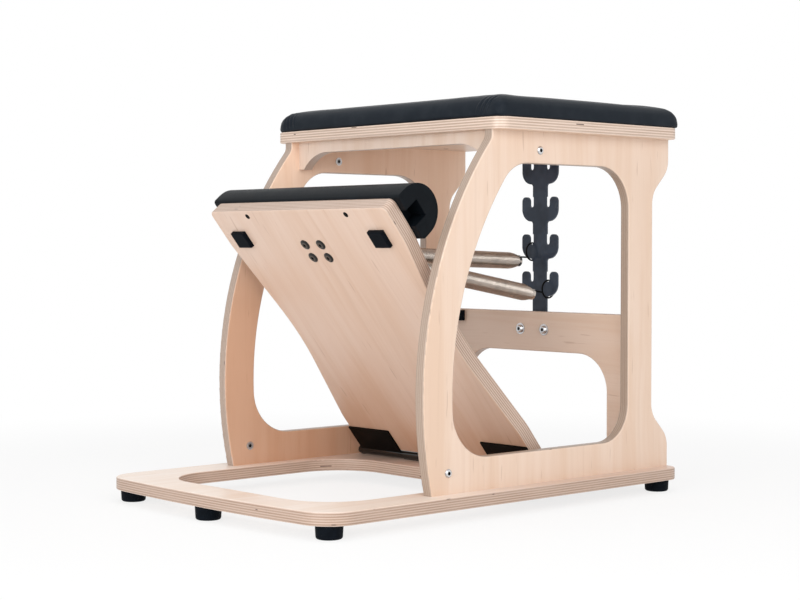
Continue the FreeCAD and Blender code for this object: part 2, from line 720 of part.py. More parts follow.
def seat_pad():
    """The upholstered pad: tucked in below, rounded over the edge and crowned on top."""
    inner_shares = (0.3, 0.6)
    bulge_share = 0.2
    crown_share = 0.75
    round_angles = (math.pi / 6, math.pi / 3, math.pi / 2)
    shoulder = seat_top + PAD_EDGE_HEIGHT
    sections = [(PAD_TUCK, seat_top), (0, seat_top + PAD_EDGE_HEIGHT * bulge_share)]
    sections += [(PAD_ROUND_WIDTH * (1 - math.cos(turn)), shoulder - PAD_ROUND_HEIGHT * (1 - math.sin(turn)))
                 for turn in round_angles]
    sections += [(SEAT_DEPTH / 2 * inner_shares[0], shoulder + PAD_CROWN * crown_share),
                 (SEAT_DEPTH / 2 * inner_shares[1], shoulder + PAD_CROWN)]
    pad = Part.makeLoft([pad_outline(inset, z) for inset, z in sections], True, True)
    fit = PAD_BACKING_FIT
    margin = PAD_BACKING_MARGIN - fit
    pocket = block((margin - seat_half, seat_half - margin), (seat_front + margin, seat_rear - margin),
                   (seat_top - OVERRUN, seat_top + PAD_BACKING_THICKNESS + fit))
    pad = pad.cut(pocket)
    return pad


def spring_post():
    """The slotted post: trunk, four pairs of upturned arms, a wide foot and a top flange."""
    depth = (post_front, post_back)
    half_trunk = POST_TRUNK_WIDTH / 2
    half_span = POST_SPAN / 2
    half_foot = POST_FOOT_WIDTH / 2
    foot_top = rail_top - POST_FOOT_DROP
    foot_bottom = foot_top - POST_FOOT_HEIGHT
    post = block((-half_trunk, half_trunk), depth, (foot_bottom, seat_under))
    foot = block((-half_foot, half_foot), depth, (foot_bottom, foot_top))
    foot = round_corners(foot, Y, POST_FOOT_RADIUS, [V(x, post_front, z) for x in (-half_foot, half_foot)
                                                    for z in (foot_bottom, foot_top)])
    post = post.fuse(foot)
    half_slot = POST_SLOT_WIDTH / 2
    for slot in slot_heights():
        arm_bottom = slot - POST_WEB_HEIGHT
        arm_top = slot + POST_SLOT_DEPTH
        arms = block((-half_span, half_span), depth, (arm_bottom, arm_top))
        heels = [V(x, post_front, arm_bottom) for x in (-half_span, half_span)]
        arms = round_corners(arms, Y, POST_ARM_RADIUS, heels)
        tips = []
        slots = []
        for side in (-1, 1):
            centre = side * POST_SLOT_CENTRE
            walls = (centre - half_slot, centre + half_slot)
            slots.append(block(walls, depth, (slot + half_slot, arm_top)))
            slots.append(rod(V(centre, post_front, slot + half_slot), Y, half_slot, POST_THICKNESS))
            tips += [V(x, post_front, arm_top) for x in (side * half_span, centre + side * half_slot)]
        for gap in slots:
            arms = arms.cut(gap)
        arms = round_corners(arms, Y, POST_ARM_TIP_RADIUS, tips)
        post = post.fuse(arms)
        for gap in slots:
            post = post.cut(gap)
    flange = block((-half_foot, half_foot), (post_front, post_back + POST_FLANGE_DEPTH),
                   (seat_under - POST_THICKNESS, seat_under))
    post = post.fuse(flange).removeSplitter()
    webs = [slot - POST_WEB_HEIGHT for slot in slot_heights()]
    crooks = [V(side * half_trunk, post_front, web) for side in (-1, 1) for web in webs]
    post = round_corners(post, Y, POST_CROOK_RADIUS, crooks)
    for x, z in post_bolt_places():
        post = post.cut(rod(V(x, post_front, z), Y, BOLT_RADIUS + SCREW_FIT, POST_THICKNESS))
    for x, y in post_flange_places():
        post = post.cut(wood_screw(V(x, y, seat_under - POST_THICKNESS), Z, POST_SCREW_LENGTH, SCREW_FIT))
    return post


def slot_heights():
    """Heights of the bottoms of the post's slots, from the top pair down."""
    top = seat_under - POST_TOP_SLOT_DROP
    return [top - POST_PITCH * level for level in range(POST_LEVELS)]


def pedal_board():
    """The pedal: wide at its head and heel with a narrower waist, built flat and then raised."""
    wide = pedal_half
    slim = pedal_half - PEDAL_WAIST_DRAW
    heel = PEDAL_HEEL_STRAIGHT
    head = PEDAL_LENGTH - PEDAL_HEAD_LENGTH
    right = [(wide, PEDAL_HEEL), (wide, heel), (slim, waist_reach), (wide, head), (wide, PEDAL_LENGTH)]
    outline = [on_pedal(x, reach, 0) for x, reach in right]
    outline += [on_pedal(-x, reach, 0) for x, reach in reversed(right)]
    board = polygon_prism(outline, Z * PEDAL_THICKNESS)
    bends = [(heel, wide, PEDAL_HEEL_RADIUS), (waist_reach, slim, PEDAL_WAIST_RADIUS),
             (head, wide, PEDAL_HEAD_RADIUS), (PEDAL_LENGTH, wide, PEDAL_CORNER_RADIUS)]
    for reach, half, radius in bends:
        board = round_corners(board, Z, radius, [on_pedal(side * half, reach, 0) for side in (-1, 1)])
    board = round_rim(board, Z, (hinge_z, hinge_z + PEDAL_THICKNESS), EDGE_ROUND, lambda edge: True)
    for x, reach in bracket_bolt_places():
        board = board.cut(rod(on_pedal(x, reach, 0), Z, BOLT_RADIUS + SCREW_FIT, PEDAL_THICKNESS))
    for x, reach in roll_screw_places():
        board = board.cut(wood_screw(on_pedal(x, reach, 0), Z, ROLL_SCREW_LENGTH, SCREW_FIT))
    for x, reach in leaf_screw_places():
        for side in (-1, 1):
            start = on_pedal(side * x, reach, -HINGE_LEAF_THICKNESS)
            board = board.cut(wood_screw(start, Z, LEAF_SCREW_LENGTH, SCREW_FIT))
    return raised(board)


def hinge_leaf():
    """The right-hand pedal leaf: a plate under the pedal with its knuckle round the pin."""
    xs = (leaf_inner, leaf_outer)
    plate = block(xs, (hinge_y - HINGE_LEAF_LENGTH, hinge_y), (hinge_z - HINGE_LEAF_THICKNESS, hinge_z))
    start = V(leaf_inner, hinge_y, hinge_z)
    leaf = plate.fuse(rod(start, X, BARREL_RADIUS, HINGE_LEAF_WIDTH)).removeSplitter()
    leaf = leaf.cut(rod(start, X, HINGE_PIN_RADIUS + RUNNING_FIT, HINGE_LEAF_WIDTH))
    for x, reach in leaf_screw_places():
        start = on_pedal(x, reach, -HINGE_LEAF_THICKNESS)
        leaf = leaf.cut(wood_screw(start, Z, LEAF_SCREW_LENGTH, SCREW_FIT))
    return raised(leaf)


def hinge_plate():
    """The long hinge plate on the base deck, with a middle knuckle and one at each end."""
    end = leaf_outer + HINGE_END_KNUCKLE
    plate = block((-end, end), (hinge_y + BARREL_RADIUS + KNUCKLE_GAP, hinge_y + HINGE_PLATE_DEPTH),
                  (base_top, base_top + HINGE_LEAF_THICKNESS))
    inner = leaf_inner - KNUCKLE_GAP
    outer = leaf_outer + KNUCKLE_GAP
    for x0, x1 in ((-inner, inner), (-end, -outer), (outer, end)):
        barrel = rod(V(x0, hinge_y, hinge_z), X, BARREL_RADIUS, x1 - x0)
        tongue = block((x0, x1), (hinge_y, hinge_y + HINGE_PLATE_DEPTH),
                       (base_top, base_top + HINGE_LEAF_THICKNESS))
        plate = plate.fuse(barrel).fuse(tongue)
    plate = plate.removeSplitter()
    plate = plate.cut(rod(V(-end, hinge_y, hinge_z), X, HINGE_PIN_RADIUS + RUNNING_FIT / 2, end * 2))
    for x, y in plate_screw_places():
        start = V(x, y, base_top + HINGE_LEAF_THICKNESS)
        plate = plate.cut(wood_screw(start, -Z, LEAF_SCREW_LENGTH, SCREW_FIT))
    return plate


def roll_section(x0, x1):
    """The D-shaped body of the pedal roll between two stations along X."""
    radius = ROLL_WIDTH / 2
    far = PEDAL_LENGTH + ROLL_TOP_OVERHANG
    near = far - ROLL_WIDTH
    wall = PEDAL_THICKNESS + ROLL_HEIGHT - radius
    middle = far - radius
    edges = [line(on_pedal(x0, near, PEDAL_THICKNESS), on_pedal(x0, far, PEDAL_THICKNESS)),
             line(on_pedal(x0, far, PEDAL_THICKNESS), on_pedal(x0, far, wall)),
             arc(on_pedal(x0, far, wall), on_pedal(x0, middle, wall + radius), on_pedal(x0, near, wall)),
             line(on_pedal(x0, near, wall), on_pedal(x0, near, PEDAL_THICKNESS))]
    return prism(edges, X * (x1 - x0))


def batten_bounds(fit):
    """The batten's box on the flat pedal, widened by a fit."""
    far = PEDAL_LENGTH + ROLL_TOP_OVERHANG - ROLL_BATTEN_EDGE
    reach = (far - ROLL_BATTEN_WIDTH - fit, far + fit)
    half = batten_half + fit
    return (-half, half), reach, (PEDAL_THICKNESS, PEDAL_THICKNESS + ROLL_BATTEN_THICKNESS + fit)


def pedal_block(xs, reach, rise):
    """A box on the flat pedal between low and high values."""
    return block(xs, (hinge_y - reach[1], hinge_y - reach[0]), (hinge_z + rise[0], hinge_z + rise[1]))


def roll_batten():
    batten = pedal_block(*batten_bounds(0))
    for x, reach in roll_screw_places():
        batten = batten.cut(wood_screw(on_pedal(x, reach, 0), Z, ROLL_SCREW_LENGTH, SCREW_FIT))
    return raised(batten)


def bracket_reach():
    """Heel and head ends of the bracket's plate, as reaches on the flat pedal."""
    heel = rod_reach - BRACKET_HEEL_MARGIN
    return heel, bolt_reach + BRACKET_BOLT_SPACING_Y / 2 + BRACKET_BOLT_MARGIN


def pedal_roll():
    """The padded roll across the pedal's head, hollowed for its batten and notched over the bracket."""
    half = roll_half
    roll = roll_section(-half, half)
    roll = roll.cut(pedal_block(*batten_bounds(ROLL_FIT)))
    heel, head = bracket_reach()
    relief = BRACKET_RELIEF_FIT
    notch_x = BRACKET_WIDTH / 2 + relief
    roll = roll.cut(pedal_block((-notch_x, notch_x), (heel, head + relief),
                                (PEDAL_THICKNESS, PEDAL_THICKNESS + BRACKET_THICKNESS + relief)))
    middle = PEDAL_LENGTH + ROLL_TOP_OVERHANG - ROLL_WIDTH / 2
    reach = (middle - ROLL_POCKET_WIDTH / 2, middle + ROLL_POCKET_WIDTH / 2)
    rise = (PEDAL_THICKNESS, PEDAL_THICKNESS + ROLL_POCKET_HEIGHT)
    for xs in ((-half, ROLL_POCKET_DEPTH - half), (half - ROLL_POCKET_DEPTH, half)):
        roll = roll.cut(pedal_block(xs, reach, rise))
    return raised(roll)


def pedal_bumper():
    """The right-hand bumper under the pedal's head, bevelled on its lower face."""
    centre = pedal_half - PEDAL_BUMPER_SIDE_INSET
    xs = (centre - PEDAL_BUMPER_WIDTH / 2, centre + PEDAL_BUMPER_WIDTH / 2)
    far = PEDAL_LENGTH - PEDAL_BUMPER_INSET
    thickness = HINGE_RISE - PEDAL_BUMPER_GAP
    pad = pedal_block(xs, (far - PEDAL_BUMPER_LENGTH, far), (-thickness, 0))
    lower = [e for e in pad.Edges if abs(e.CenterOfMass.z - (hinge_z - thickness)) < PEDAL_BUMPER_GAP / 2]
    return raised(pad.makeChamfer(PEDAL_BUMPER_BEVEL, lower))


def stop_bumper():
    """The rubber stop at the left end of the rear rail, where the unhooked pedal would lean."""
    centre = STOP_BUMPER_SIDE_INSET - panel_in
    top = rail_top - STOP_BUMPER_DROP
    face = rear_panel_front - STOP_BUMPER_THICKNESS
    pad = block((centre - STOP_BUMPER_WIDTH / 2, centre + STOP_BUMPER_WIDTH / 2), (face, rear_panel_front),
                (top - STOP_BUMPER_HEIGHT, top))
    front = [e for e in pad.Edges if abs(e.CenterOfMass.y - face) < PEDAL_BUMPER_BEVEL / 2]
    return pad.makeChamfer(PEDAL_BUMPER_BEVEL, front)


def pedal_bracket():
    """The spring bracket: a plate on the pedal with three lugs that hold the cross rod."""
    heel, head = bracket_reach()
    half = BRACKET_WIDTH / 2
    rise = PEDAL_THICKNESS + BRACKET_ROD_RISE
    bracket = pedal_block((-half, half), (heel, head), (PEDAL_THICKNESS, PEDAL_THICKNESS + BRACKET_THICKNESS))
    for x in lug_places():
        start = on_pedal(x, rod_reach, rise)
        stem = pedal_block((x, x + BRACKET_LUG_THICKNESS),
                           (rod_reach - BRACKET_LUG_RADIUS, rod_reach + BRACKET_LUG_RADIUS),
                           (PEDAL_THICKNESS, rise))
        bracket = bracket.fuse(stem).fuse(rod(start, X, BRACKET_LUG_RADIUS, BRACKET_LUG_THICKNESS))
    bracket = bracket.removeSplitter()
    start = on_pedal(-half, rod_reach, rise)
    bracket = bracket.cut(rod(start, X, BRACKET_ROD_RADIUS + SCREW_FIT, BRACKET_WIDTH))
    grip = PEDAL_THICKNESS + BRACKET_THICKNESS
    for x, reach in bracket_bolt_places():
        bracket = bracket.cut(rod(on_pedal(x, reach, 0), Z, BOLT_RADIUS + SCREW_FIT, grip))
    return raised(bracket)


def lug_places():
    """The low X of each lug: one between the hooks and one outside each."""
    half = BRACKET_LUG_THICKNESS / 2
    outer = POST_SLOT_CENTRE * 2 - half
    return [-outer - BRACKET_LUG_THICKNESS + half, -half, outer - half]


def rod_centre():
    """The middle of the bracket's cross rod at rest."""
    return raised_point(on_pedal(0, rod_reach, PEDAL_THICKNESS + BRACKET_ROD_RISE))


def bracket_rod():
    reach = lug_places()[2] + BRACKET_LUG_THICKNESS
    start = on_pedal(-reach, rod_reach, PEDAL_THICKNESS + BRACKET_ROD_RISE)
    return raised(rod(start, X, BRACKET_ROD_RADIUS, reach * 2))


def ring_centre(side, level):
    """The middle of a hook ring: it goes round the web under a slot of the post."""
    return V(side * POST_SLOT_CENTRE, post_mid, slot_heights()[level] - POST_WEB_HEIGHT / 2)


def spring_line(side, level, reach, drop):
    """Rear tip, direction and length of a spring, from beside its ring to the pedal's rod."""
    ring = ring_centre(side, level)
    target = rod_centre()
    target.x = ring.x
    pull = (target - ring).normalize()
    tip = ring + pull * reach + X.cross(pull) * drop
    along = target - tip
    return tip, along.normalize(), (target - tip).Length


def ring_hook(side, level, reach, drop):
    """The wire ring round the post's web, with the stem that carries the spring's rear plug."""
    ring = ring_centre(side, level)
    tip, along, _ = spring_line(side, level, reach, drop)
    up = X.cross(along)
    if up.dot(ring - tip) < 0:
        up = -up
    offset = ring_radius * STEM_OFFSET_SHARE
    fall = (ring - tip).dot(up) - offset
    run = (ring - tip).dot(-along) - math.sqrt(ring_radius ** 2 - fall ** 2)
    wire = Part.makeTorus(ring_radius, RING_WIRE_RADIUS, ring, X)
    stem = rod(tip + up * offset, -along, RING_WIRE_RADIUS, run)
    return wire.fuse(stem).removeSplitter()


def rear_plug(side, level, reach, drop):
    """The plug that closes a spring's rear end."""
    tip, along, _ = spring_line(side, level, reach, drop)
    return rod(tip, along, PLUG_RADIUS, PLUG_THICKNESS)


def front_plug(side, level, reach, drop):
    """The bored plug at a spring's front end, which the pedal hook's stem passes through."""
    tip, along, length = spring_line(side, level, reach, drop)
    start = tip + along * (length - FRONT_PLUG_GAP - PLUG_THICKNESS)
    plug = rod(start, along, SPRING_OUTER_RADIUS + PLUG_RIM, PLUG_THICKNESS)
    return plug.cut(rod(start, along, RING_WIRE_RADIUS + HOOK_BORE_PLAY, PLUG_THICKNESS))


def pedal_hook(side, level, reach, drop):
    """The wire hook on the pedal's rod, with a stem into the spring that ends in a bulb."""
    tip, along, length = spring_line(side, level, reach, drop)
    centre = tip + along * length
    wire = Part.makeTorus(hook_radius, RING_WIRE_RADIUS, centre, X)
    stem = rod(centre - along * hook_radius, -along, RING_WIRE_RADIUS, HOOK_STEM_REACH - hook_radius)
    bulb = rod(centre - along * HOOK_STEM_REACH, -along, HOOK_BULB_RADIUS, HOOK_BULB_LENGTH)
    return wire.fuse(stem).fuse(bulb).removeSplitter()


def helix_stations(length):
    """Points and directions down a spring: straight ends, tapered turns at the rear, then full turns."""
    outer = SPRING_OUTER_RADIUS - SPRING_WIRE_RADIUS
    start = PLUG_THICKNESS + SPRING_LEAD
    stop = length - FRONT_PLUG_GAP - PLUG_THICKNESS - SPRING_LEAD
    steps = SPRING_TURNS * 2

    def radius_at(turn):
        ease = min(turn / SPRING_TAPER_TURNS, 1.0)
        return SPRING_END_RADIUS + (outer - SPRING_END_RADIUS) * math.sin(ease * math.pi / 2)

    def place(turn):
        angle = turn * 2 * math.pi
        r = radius_at(turn)
        return V(r * math.cos(angle), r * math.sin(angle), start + (stop - start) * turn / SPRING_TURNS)

    def heading(turn):
        step = 1e-4
        low = max(turn - step, 0.0)
        high = min(turn + step, float(SPRING_TURNS))
        return (place(high) - place(low)).normalize()

    turns = [i * SPRING_TURNS / steps for i in range(steps + 1)]
    stations = [(place(t), heading(t)) for t in turns]
    wire = SPRING_WIRE_RADIUS * 2
    swing = SPRING_END_RADIUS / outer
    begin = V(SPRING_END_RADIUS * math.cos(1), -SPRING_END_RADIUS * math.sin(1), PLUG_THICKNESS)
    end = V(outer * math.cos(swing), outer * math.sin(swing), length - FRONT_PLUG_GAP - PLUG_THICKNESS)
    return begin, [(begin + Z * wire, Z)] + stations + [(end - Z * wire, Z)], end


def biarc(p, s, q, t):
    """Two arcs that leave p along s and reach q along t."""
    chord = q - p
    both = s + t
    bend = 2 * (1 - s.dot(t))
    lean = chord.dot(both)
    reach = (math.sqrt(lean ** 2 + bend * chord.dot(chord)) - lean) / bend
    joint = (p + q + (s - t) * reach) * 0.5

    def half(a, heading, b):
        way = b - a
        span = way.Length
        way.normalize()
        turn = (heading + way).normalize()
        return a + turn * (span / 2 / turn.dot(way))

    first = arc(p, half(p, s, joint), joint)
    back = half(q, -t, joint)
    return [first, arc(joint, back, q)]


def spring_coil(side, level, reach, drop):
    """A tension spring with a tapered rear end, as one unbroken wire."""
    tip, along, length = spring_line(side, level, reach, drop)
    begin, stations, end = helix_stations(length)
    edges = [line(begin, stations[0][0])]
    for (p, s), (q, t) in zip(stations, stations[1:]):
        edges += biarc(p, s, q, t)
    edges.append(line(stations[-1][0], end))
    path = Part.Wire(edges)
    section = Part.Wire([Part.Circle(begin, Z, SPRING_WIRE_RADIUS).toShape()])
    coil = path.makePipeShell([section], True, False)
    expected = path.Length * math.pi * SPRING_WIRE_RADIUS ** 2
    print("spring wire length", round(path.Length, 1), "least gap", round(least_gap(edges), 2))
    print("spring volume over expected", round(coil.Volume / expected, 4))
    coil.Placement = FreeCAD.Placement(tip, FreeCAD.Rotation(Z, along))
    return coil


def least_gap(edges):
    """The smallest clear distance between neighbouring turns of a wire, measured on points."""
    points = []
    for edge in edges:
        points += edge.discretize(Number=8)[:-1]
    travel = [0.0]
    for a, b in zip(points, points[1:]):
        travel.append(travel[-1] + (b - a).Length)
    apart = SPRING_END_RADIUS * math.pi
    window = 2 * math.pi * SPRING_OUTER_RADIUS * 2
    gap = window
    for i, p in enumerate(points):
        for j in range(i + 1, len(points)):
            if travel[j] - travel[i] > window:
                break
            if travel[j] - travel[i] > apart:
                gap = min(gap, (points[j] - p).Length - SPRING_WIRE_RADIUS * 2)
    return gap


def foot(x, y):
    """A rubber foot, a little narrower and rounded at the floor, and bored for its screw."""
    body = Part.makeCone(FOOT_RADIUS - FOOT_TAPER, FOOT_RADIUS, FOOT_HEIGHT, V(x, y, 0), Z)
    low = [e for e in body.Edges if abs(e.CenterOfMass.z) < FOOT_ROUND / 2 and len(e.Vertexes) == 1]
    body = body.makeFillet(FOOT_ROUND, low)
    seat = FOOT_HEIGHT - FOOT_SEAT_THICKNESS
    body = body.cut(rod(V(x, y, 0), Z, FOOT_BORE_RADIUS, seat))
    return body.cut(wood_screw(V(x, y, seat), Z, FOOT_SCREW_LENGTH, SCREW_FIT))


def panel_bolts():
    """The socket bolts on the right-hand panel's outer face and the flanged nuts on its inner face."""
    bolts, nuts = [], []
    for y, z in panel_bolt_places():
        length = PANEL_THICKNESS - PANEL_NUT_WALL
        bolts.append(cap_bolt(V(panel_out, y, z), -X, PANEL_BOLT_RADIUS, PANEL_BOLT_HEAD_RADIUS,
                              PANEL_BOLT_HEAD_HEIGHT, length))
        start = V(panel_in, y, z)
        nut = rod(start - X * PANEL_NUT_FLANGE, X, PANEL_NUT_FLANGE_RADIUS, PANEL_NUT_FLANGE)
        nut = nut.fuse(rod(start, X, PANEL_NUT_RADIUS, PANEL_THICKNESS)).removeSplitter()
        nut = nut.cut(rod(start + X * PANEL_NUT_WALL, X, PANEL_BOLT_RADIUS + SCREW_FIT, length))
        socket = hex_bar(start - X * PANEL_NUT_FLANGE, X, SOCKET_RADIUS, SOCKET_DEPTH)
        nuts.append(nut.cut(socket))
    return bolts, nuts


def write(name, shapes):
    """Write a node's solids to its file."""
    solids = [solid for shape in shapes for solid in shape.Solids]
    body = solids[0] if len(solids) == 1 else Part.makeCompound(solids)
    if not body.isValid():
        print("not valid:", name)
    body.exportStep("parts/" + name + ".step")


def build():
    os.makedirs("parts", exist_ok=True)
    blank = side_panel()
    panels = [blank, mirrored(blank)]
    bored = blank
    for bore in panel_bores() + dowel_holes():
        bored = bored.cut(bore)
    for x, y in frame_screw_places():
        bored = bored.cut(wood_screw(V(x, y, base_bottom), Z, FRAME_SCREW_LENGTH, SCREW_FIT))
    for hole in seat_screws(SCREW_FIT):
        bored = bored.cut(hole)
    write("side_panel_right", [bored])
    write("side_panel_left", [mirrored(bored)])
    write("base_board", [base_board(panels)])
    write("seat_board", [seat_board()])
    write("rear_panel", [rear_panel()])
    write("front_apron", [front_apron()])

    backing = pad_backing()
    for x, y in pad_screw_places():
        backing = backing.cut(wood_screw(V(x, y, seat_under), Z, PAD_SCREW_LENGTH, SCREW_FIT))
    write("seat_pad", [seat_pad()])
    write("seat_pad_backing", [backing])
    write("seat_pad_screws", [wood_screw(V(x, y, seat_under), Z, PAD_SCREW_LENGTH)
                              for x, y in pad_screw_places()])

    write("frame_screws", [wood_screw(V(x, y, base_bottom), Z, FRAME_SCREW_LENGTH)
                           for x, y in frame_screw_places()])
    write("seat_screws", seat_screws())
    write("dowels", [rod(start, along, DOWEL_RADIUS, DOWEL_LENGTH) for start, along in dowels()])
    bolts, nuts = panel_bolts()
    write("panel_bolts_right", bolts)
    write("panel_bolts_left", [mirrored(b) for b in bolts])
    write("panel_nuts_right", nuts)
    write("panel_nuts_left", [mirrored(n) for n in nuts])

    for name, (x, y) in foot_places().items():
        write(name, [foot(x, y)])
    seat = FOOT_HEIGHT - FOOT_SEAT_THICKNESS
    write("foot_screws", [wood_screw(V(x, y, seat), Z, FOOT_SCREW_LENGTH) for x, y in foot_places().values()])

    write("spring_post", [spring_post()])
    bolt_length = REAR_PANEL_THICKNESS + POST_THICKNESS + NUT_THICKNESS + WASHER_THICKNESS
    face = rear_panel_front - WASHER_THICKNESS
    write("post_bolts", [cap_bolt(V(x, face, z), Y, BOLT_RADIUS, BOLT_HEAD_RADIUS, BOLT_HEAD_HEIGHT,
                                  bolt_length) for x, z in post_bolt_places()])
    washers = [rod(V(x, face, z), Y, WASHER_RADIUS, WASHER_THICKNESS) for x, z in post_bolt_places()]
    bores = [rod(V(x, face, z), Y, BOLT_RADIUS + SCREW_FIT, WASHER_THICKNESS) for x, z in post_bolt_places()]
    write("post_washers", [washer.cut(bore) for washer, bore in zip(washers, bores)])
    write("post_nuts", [hex_nut(V(x, post_back, z), Y, BOLT_RADIUS + SCREW_FIT)
                        for x, z in post_bolt_places()])
    write("post_screws", [wood_screw(V(x, y, seat_under - POST_THICKNESS), Z, POST_SCREW_LENGTH)
                          for x, y in post_flange_places()])

    write("hinge_plate", [hinge_plate()])
    write("hinge_plate_screws", [wood_screw(V(x, y, base_top + HINGE_LEAF_THICKNESS), -Z, LEAF_SCREW_LENGTH)
                                 for x, y in plate_screw_places()])
    end = leaf_outer + HINGE_END_KNUCKLE
    write("hinge_pin", [rod(V(-end, hinge_y, hinge_z), X, HINGE_PIN_RADIUS, end * 2)])
    leaf = hinge_leaf()
    write("hinge_leaf_right", [leaf])
    write("hinge_leaf_left", [mirrored(leaf)])
    starts = [on_pedal(side * x, reach, -HINGE_LEAF_THICKNESS) for side in (-1, 1)
              for x, reach in leaf_screw_places()]
    write("hinge_leaf_screws", [raised(wood_screw(start, Z, LEAF_SCREW_LENGTH)) for start in starts])

    write("pedal_board", [pedal_board()])
    write("pedal_roll", [pedal_roll()])
    write("roll_batten", [roll_batten()])
    write("roll_screws", [raised(wood_screw(on_pedal(x, reach, 0), Z, ROLL_SCREW_LENGTH))
                          for x, reach in roll_screw_places()])
    bumper = pedal_bumper()
    write("pedal_bumper_right", [bumper])
    write("pedal_bumper_left", [mirrored(bumper)])
    write("stop_bumper", [stop_bumper()])
    write("pedal_bracket", [pedal_bracket()])
    write("bracket_rod", [bracket_rod()])
    grip = PEDAL_THICKNESS + BRACKET_THICKNESS
    bolts = [cap_bolt(on_pedal(x, reach, 0), Z, BOLT_RADIUS, BRACKET_HEAD_RADIUS, BRACKET_HEAD_HEIGHT, grip)
             for x, reach in bracket_bolt_places()]
    write("bracket_bolts", [raised(bolt) for bolt in bolts])

    springs = {"upper": (-1, upper_level, UPPER_TIP_REACH, UPPER_TIP_DROP),
               "lower": (1, lower_level, LOWER_TIP_REACH, LOWER_TIP_DROP)}
    for name, spring in springs.items():
        write(name + "_ring_hook", [ring_hook(*spring)])
        write(name + "_rear_plug", [rear_plug(*spring)])
        write(name + "_spring", [spring_coil(*spring)])
        write(name + "_front_plug", [front_plug(*spring)])
        write(name + "_pedal_hook", [pedal_hook(*spring)])


build()
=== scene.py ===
import bpy
import bmesh
import json
import math
from collections import namedtuple
from contextlib import contextmanager
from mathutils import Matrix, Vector


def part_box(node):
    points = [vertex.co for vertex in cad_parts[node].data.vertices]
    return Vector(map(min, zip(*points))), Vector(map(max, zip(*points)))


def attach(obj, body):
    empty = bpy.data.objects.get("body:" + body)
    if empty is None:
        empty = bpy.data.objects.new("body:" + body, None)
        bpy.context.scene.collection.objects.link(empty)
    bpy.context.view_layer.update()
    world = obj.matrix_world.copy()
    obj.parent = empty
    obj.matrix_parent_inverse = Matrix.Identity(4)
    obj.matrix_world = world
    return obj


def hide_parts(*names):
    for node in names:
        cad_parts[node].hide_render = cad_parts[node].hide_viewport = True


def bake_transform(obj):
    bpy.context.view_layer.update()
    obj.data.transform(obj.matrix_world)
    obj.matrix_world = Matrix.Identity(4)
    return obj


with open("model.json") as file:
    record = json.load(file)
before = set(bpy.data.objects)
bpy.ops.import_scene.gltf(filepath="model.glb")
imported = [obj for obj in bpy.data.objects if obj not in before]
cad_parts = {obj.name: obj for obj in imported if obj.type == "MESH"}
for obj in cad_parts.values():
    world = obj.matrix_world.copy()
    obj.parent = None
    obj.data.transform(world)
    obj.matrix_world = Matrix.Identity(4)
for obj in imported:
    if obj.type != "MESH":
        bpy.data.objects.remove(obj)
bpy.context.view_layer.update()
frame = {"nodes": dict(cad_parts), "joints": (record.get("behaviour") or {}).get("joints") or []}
nodes = frame["nodes"]

AXIS_X = Vector((1.0, 0.0, 0.0))
AXIS_Y = Vector((0.0, 1.0, 0.0))
AXIS_Z = Vector((0.0, 0.0, 1.0))
MM = 0.001


def joint(name):
    return next(j for j in frame["joints"] if j["name"] == name)


# Camera: one fixed lens, looking slightly down at the chair's front right corner
CAMERA_PLACE = (2.1193, -1.9146, 0.4137)
CAMERA_TURN = math.radians(47.77)
CAMERA_PITCH = math.radians(1.80)
CAMERA_LENS = 78.13
SENSOR_WIDTH = 36.0

# The raised pedal's own directions, for its grain and for the roll at its head
PEDAL_LEAN = math.radians(51.0)
PEDAL_ALONG = Vector((0.0, -math.cos(PEDAL_LEAN), math.sin(PEDAL_LEAN)))
PEDAL_NORMAL = Vector((0.0, math.sin(PEDAL_LEAN), math.cos(PEDAL_LEAN)))
HINGE = Vector(joint("pedal_hinge")["pos_m"])
PEDAL_THICKNESS = 24.0 * MM
BATTEN_THICKNESS = 15.0 * MM


class Sock:
    """A socket in a node tree: an expression on it adds Math nodes."""

    def __init__(self, graph, socket):
        self.graph = graph
        self.socket = socket

    def math(self, operation, a, b=0.0):
        return self.graph.node("ShaderNodeMath", {"operation": operation}, {0: a, 1: b})

    def __add__(self, other):
        return self.math("ADD", self, other)

    def __radd__(self, other):
        return self.math("ADD", other, self)

    def __sub__(self, other):
        return self.math("SUBTRACT", self, other)

    def __rsub__(self, other):
        return self.math("SUBTRACT", other, self)

    def __mul__(self, other):
        return self.math("MULTIPLY", self, other)

    def __rmul__(self, other):
        return self.math("MULTIPLY", other, self)

    def __truediv__(self, other):
        return self.math("DIVIDE", self, other)

    def __rtruediv__(self, other):
        return self.math("DIVIDE", other, self)

    def __abs__(self):
        return self.math("ABSOLUTE", self)

    def floor(self):
        return self.math("FLOOR", self)

    def sine(self):
        return self.math("SINE", self)

    def root(self):
        return self.math("SQRT", self)

    def least(self, other):
        return self.math("MINIMUM", self, other)

    def most(self, other):
        return self.math("MAXIMUM", self, other)

    def step(self, low, high):
        """0 on the low side, 1 on the high side and smooth between."""
        settings = {"interpolation_type": "SMOOTHSTEP"}
        values = {"Value": self, "From Min": low, "From Max": high}
        return self.graph.node("ShaderNodeMapRange", settings, values)


# Places of a colour mix's share, its two colours and its result
MIX_SHARE, MIX_A, MIX_B, MIX_RESULT = 0, 6, 7, 2


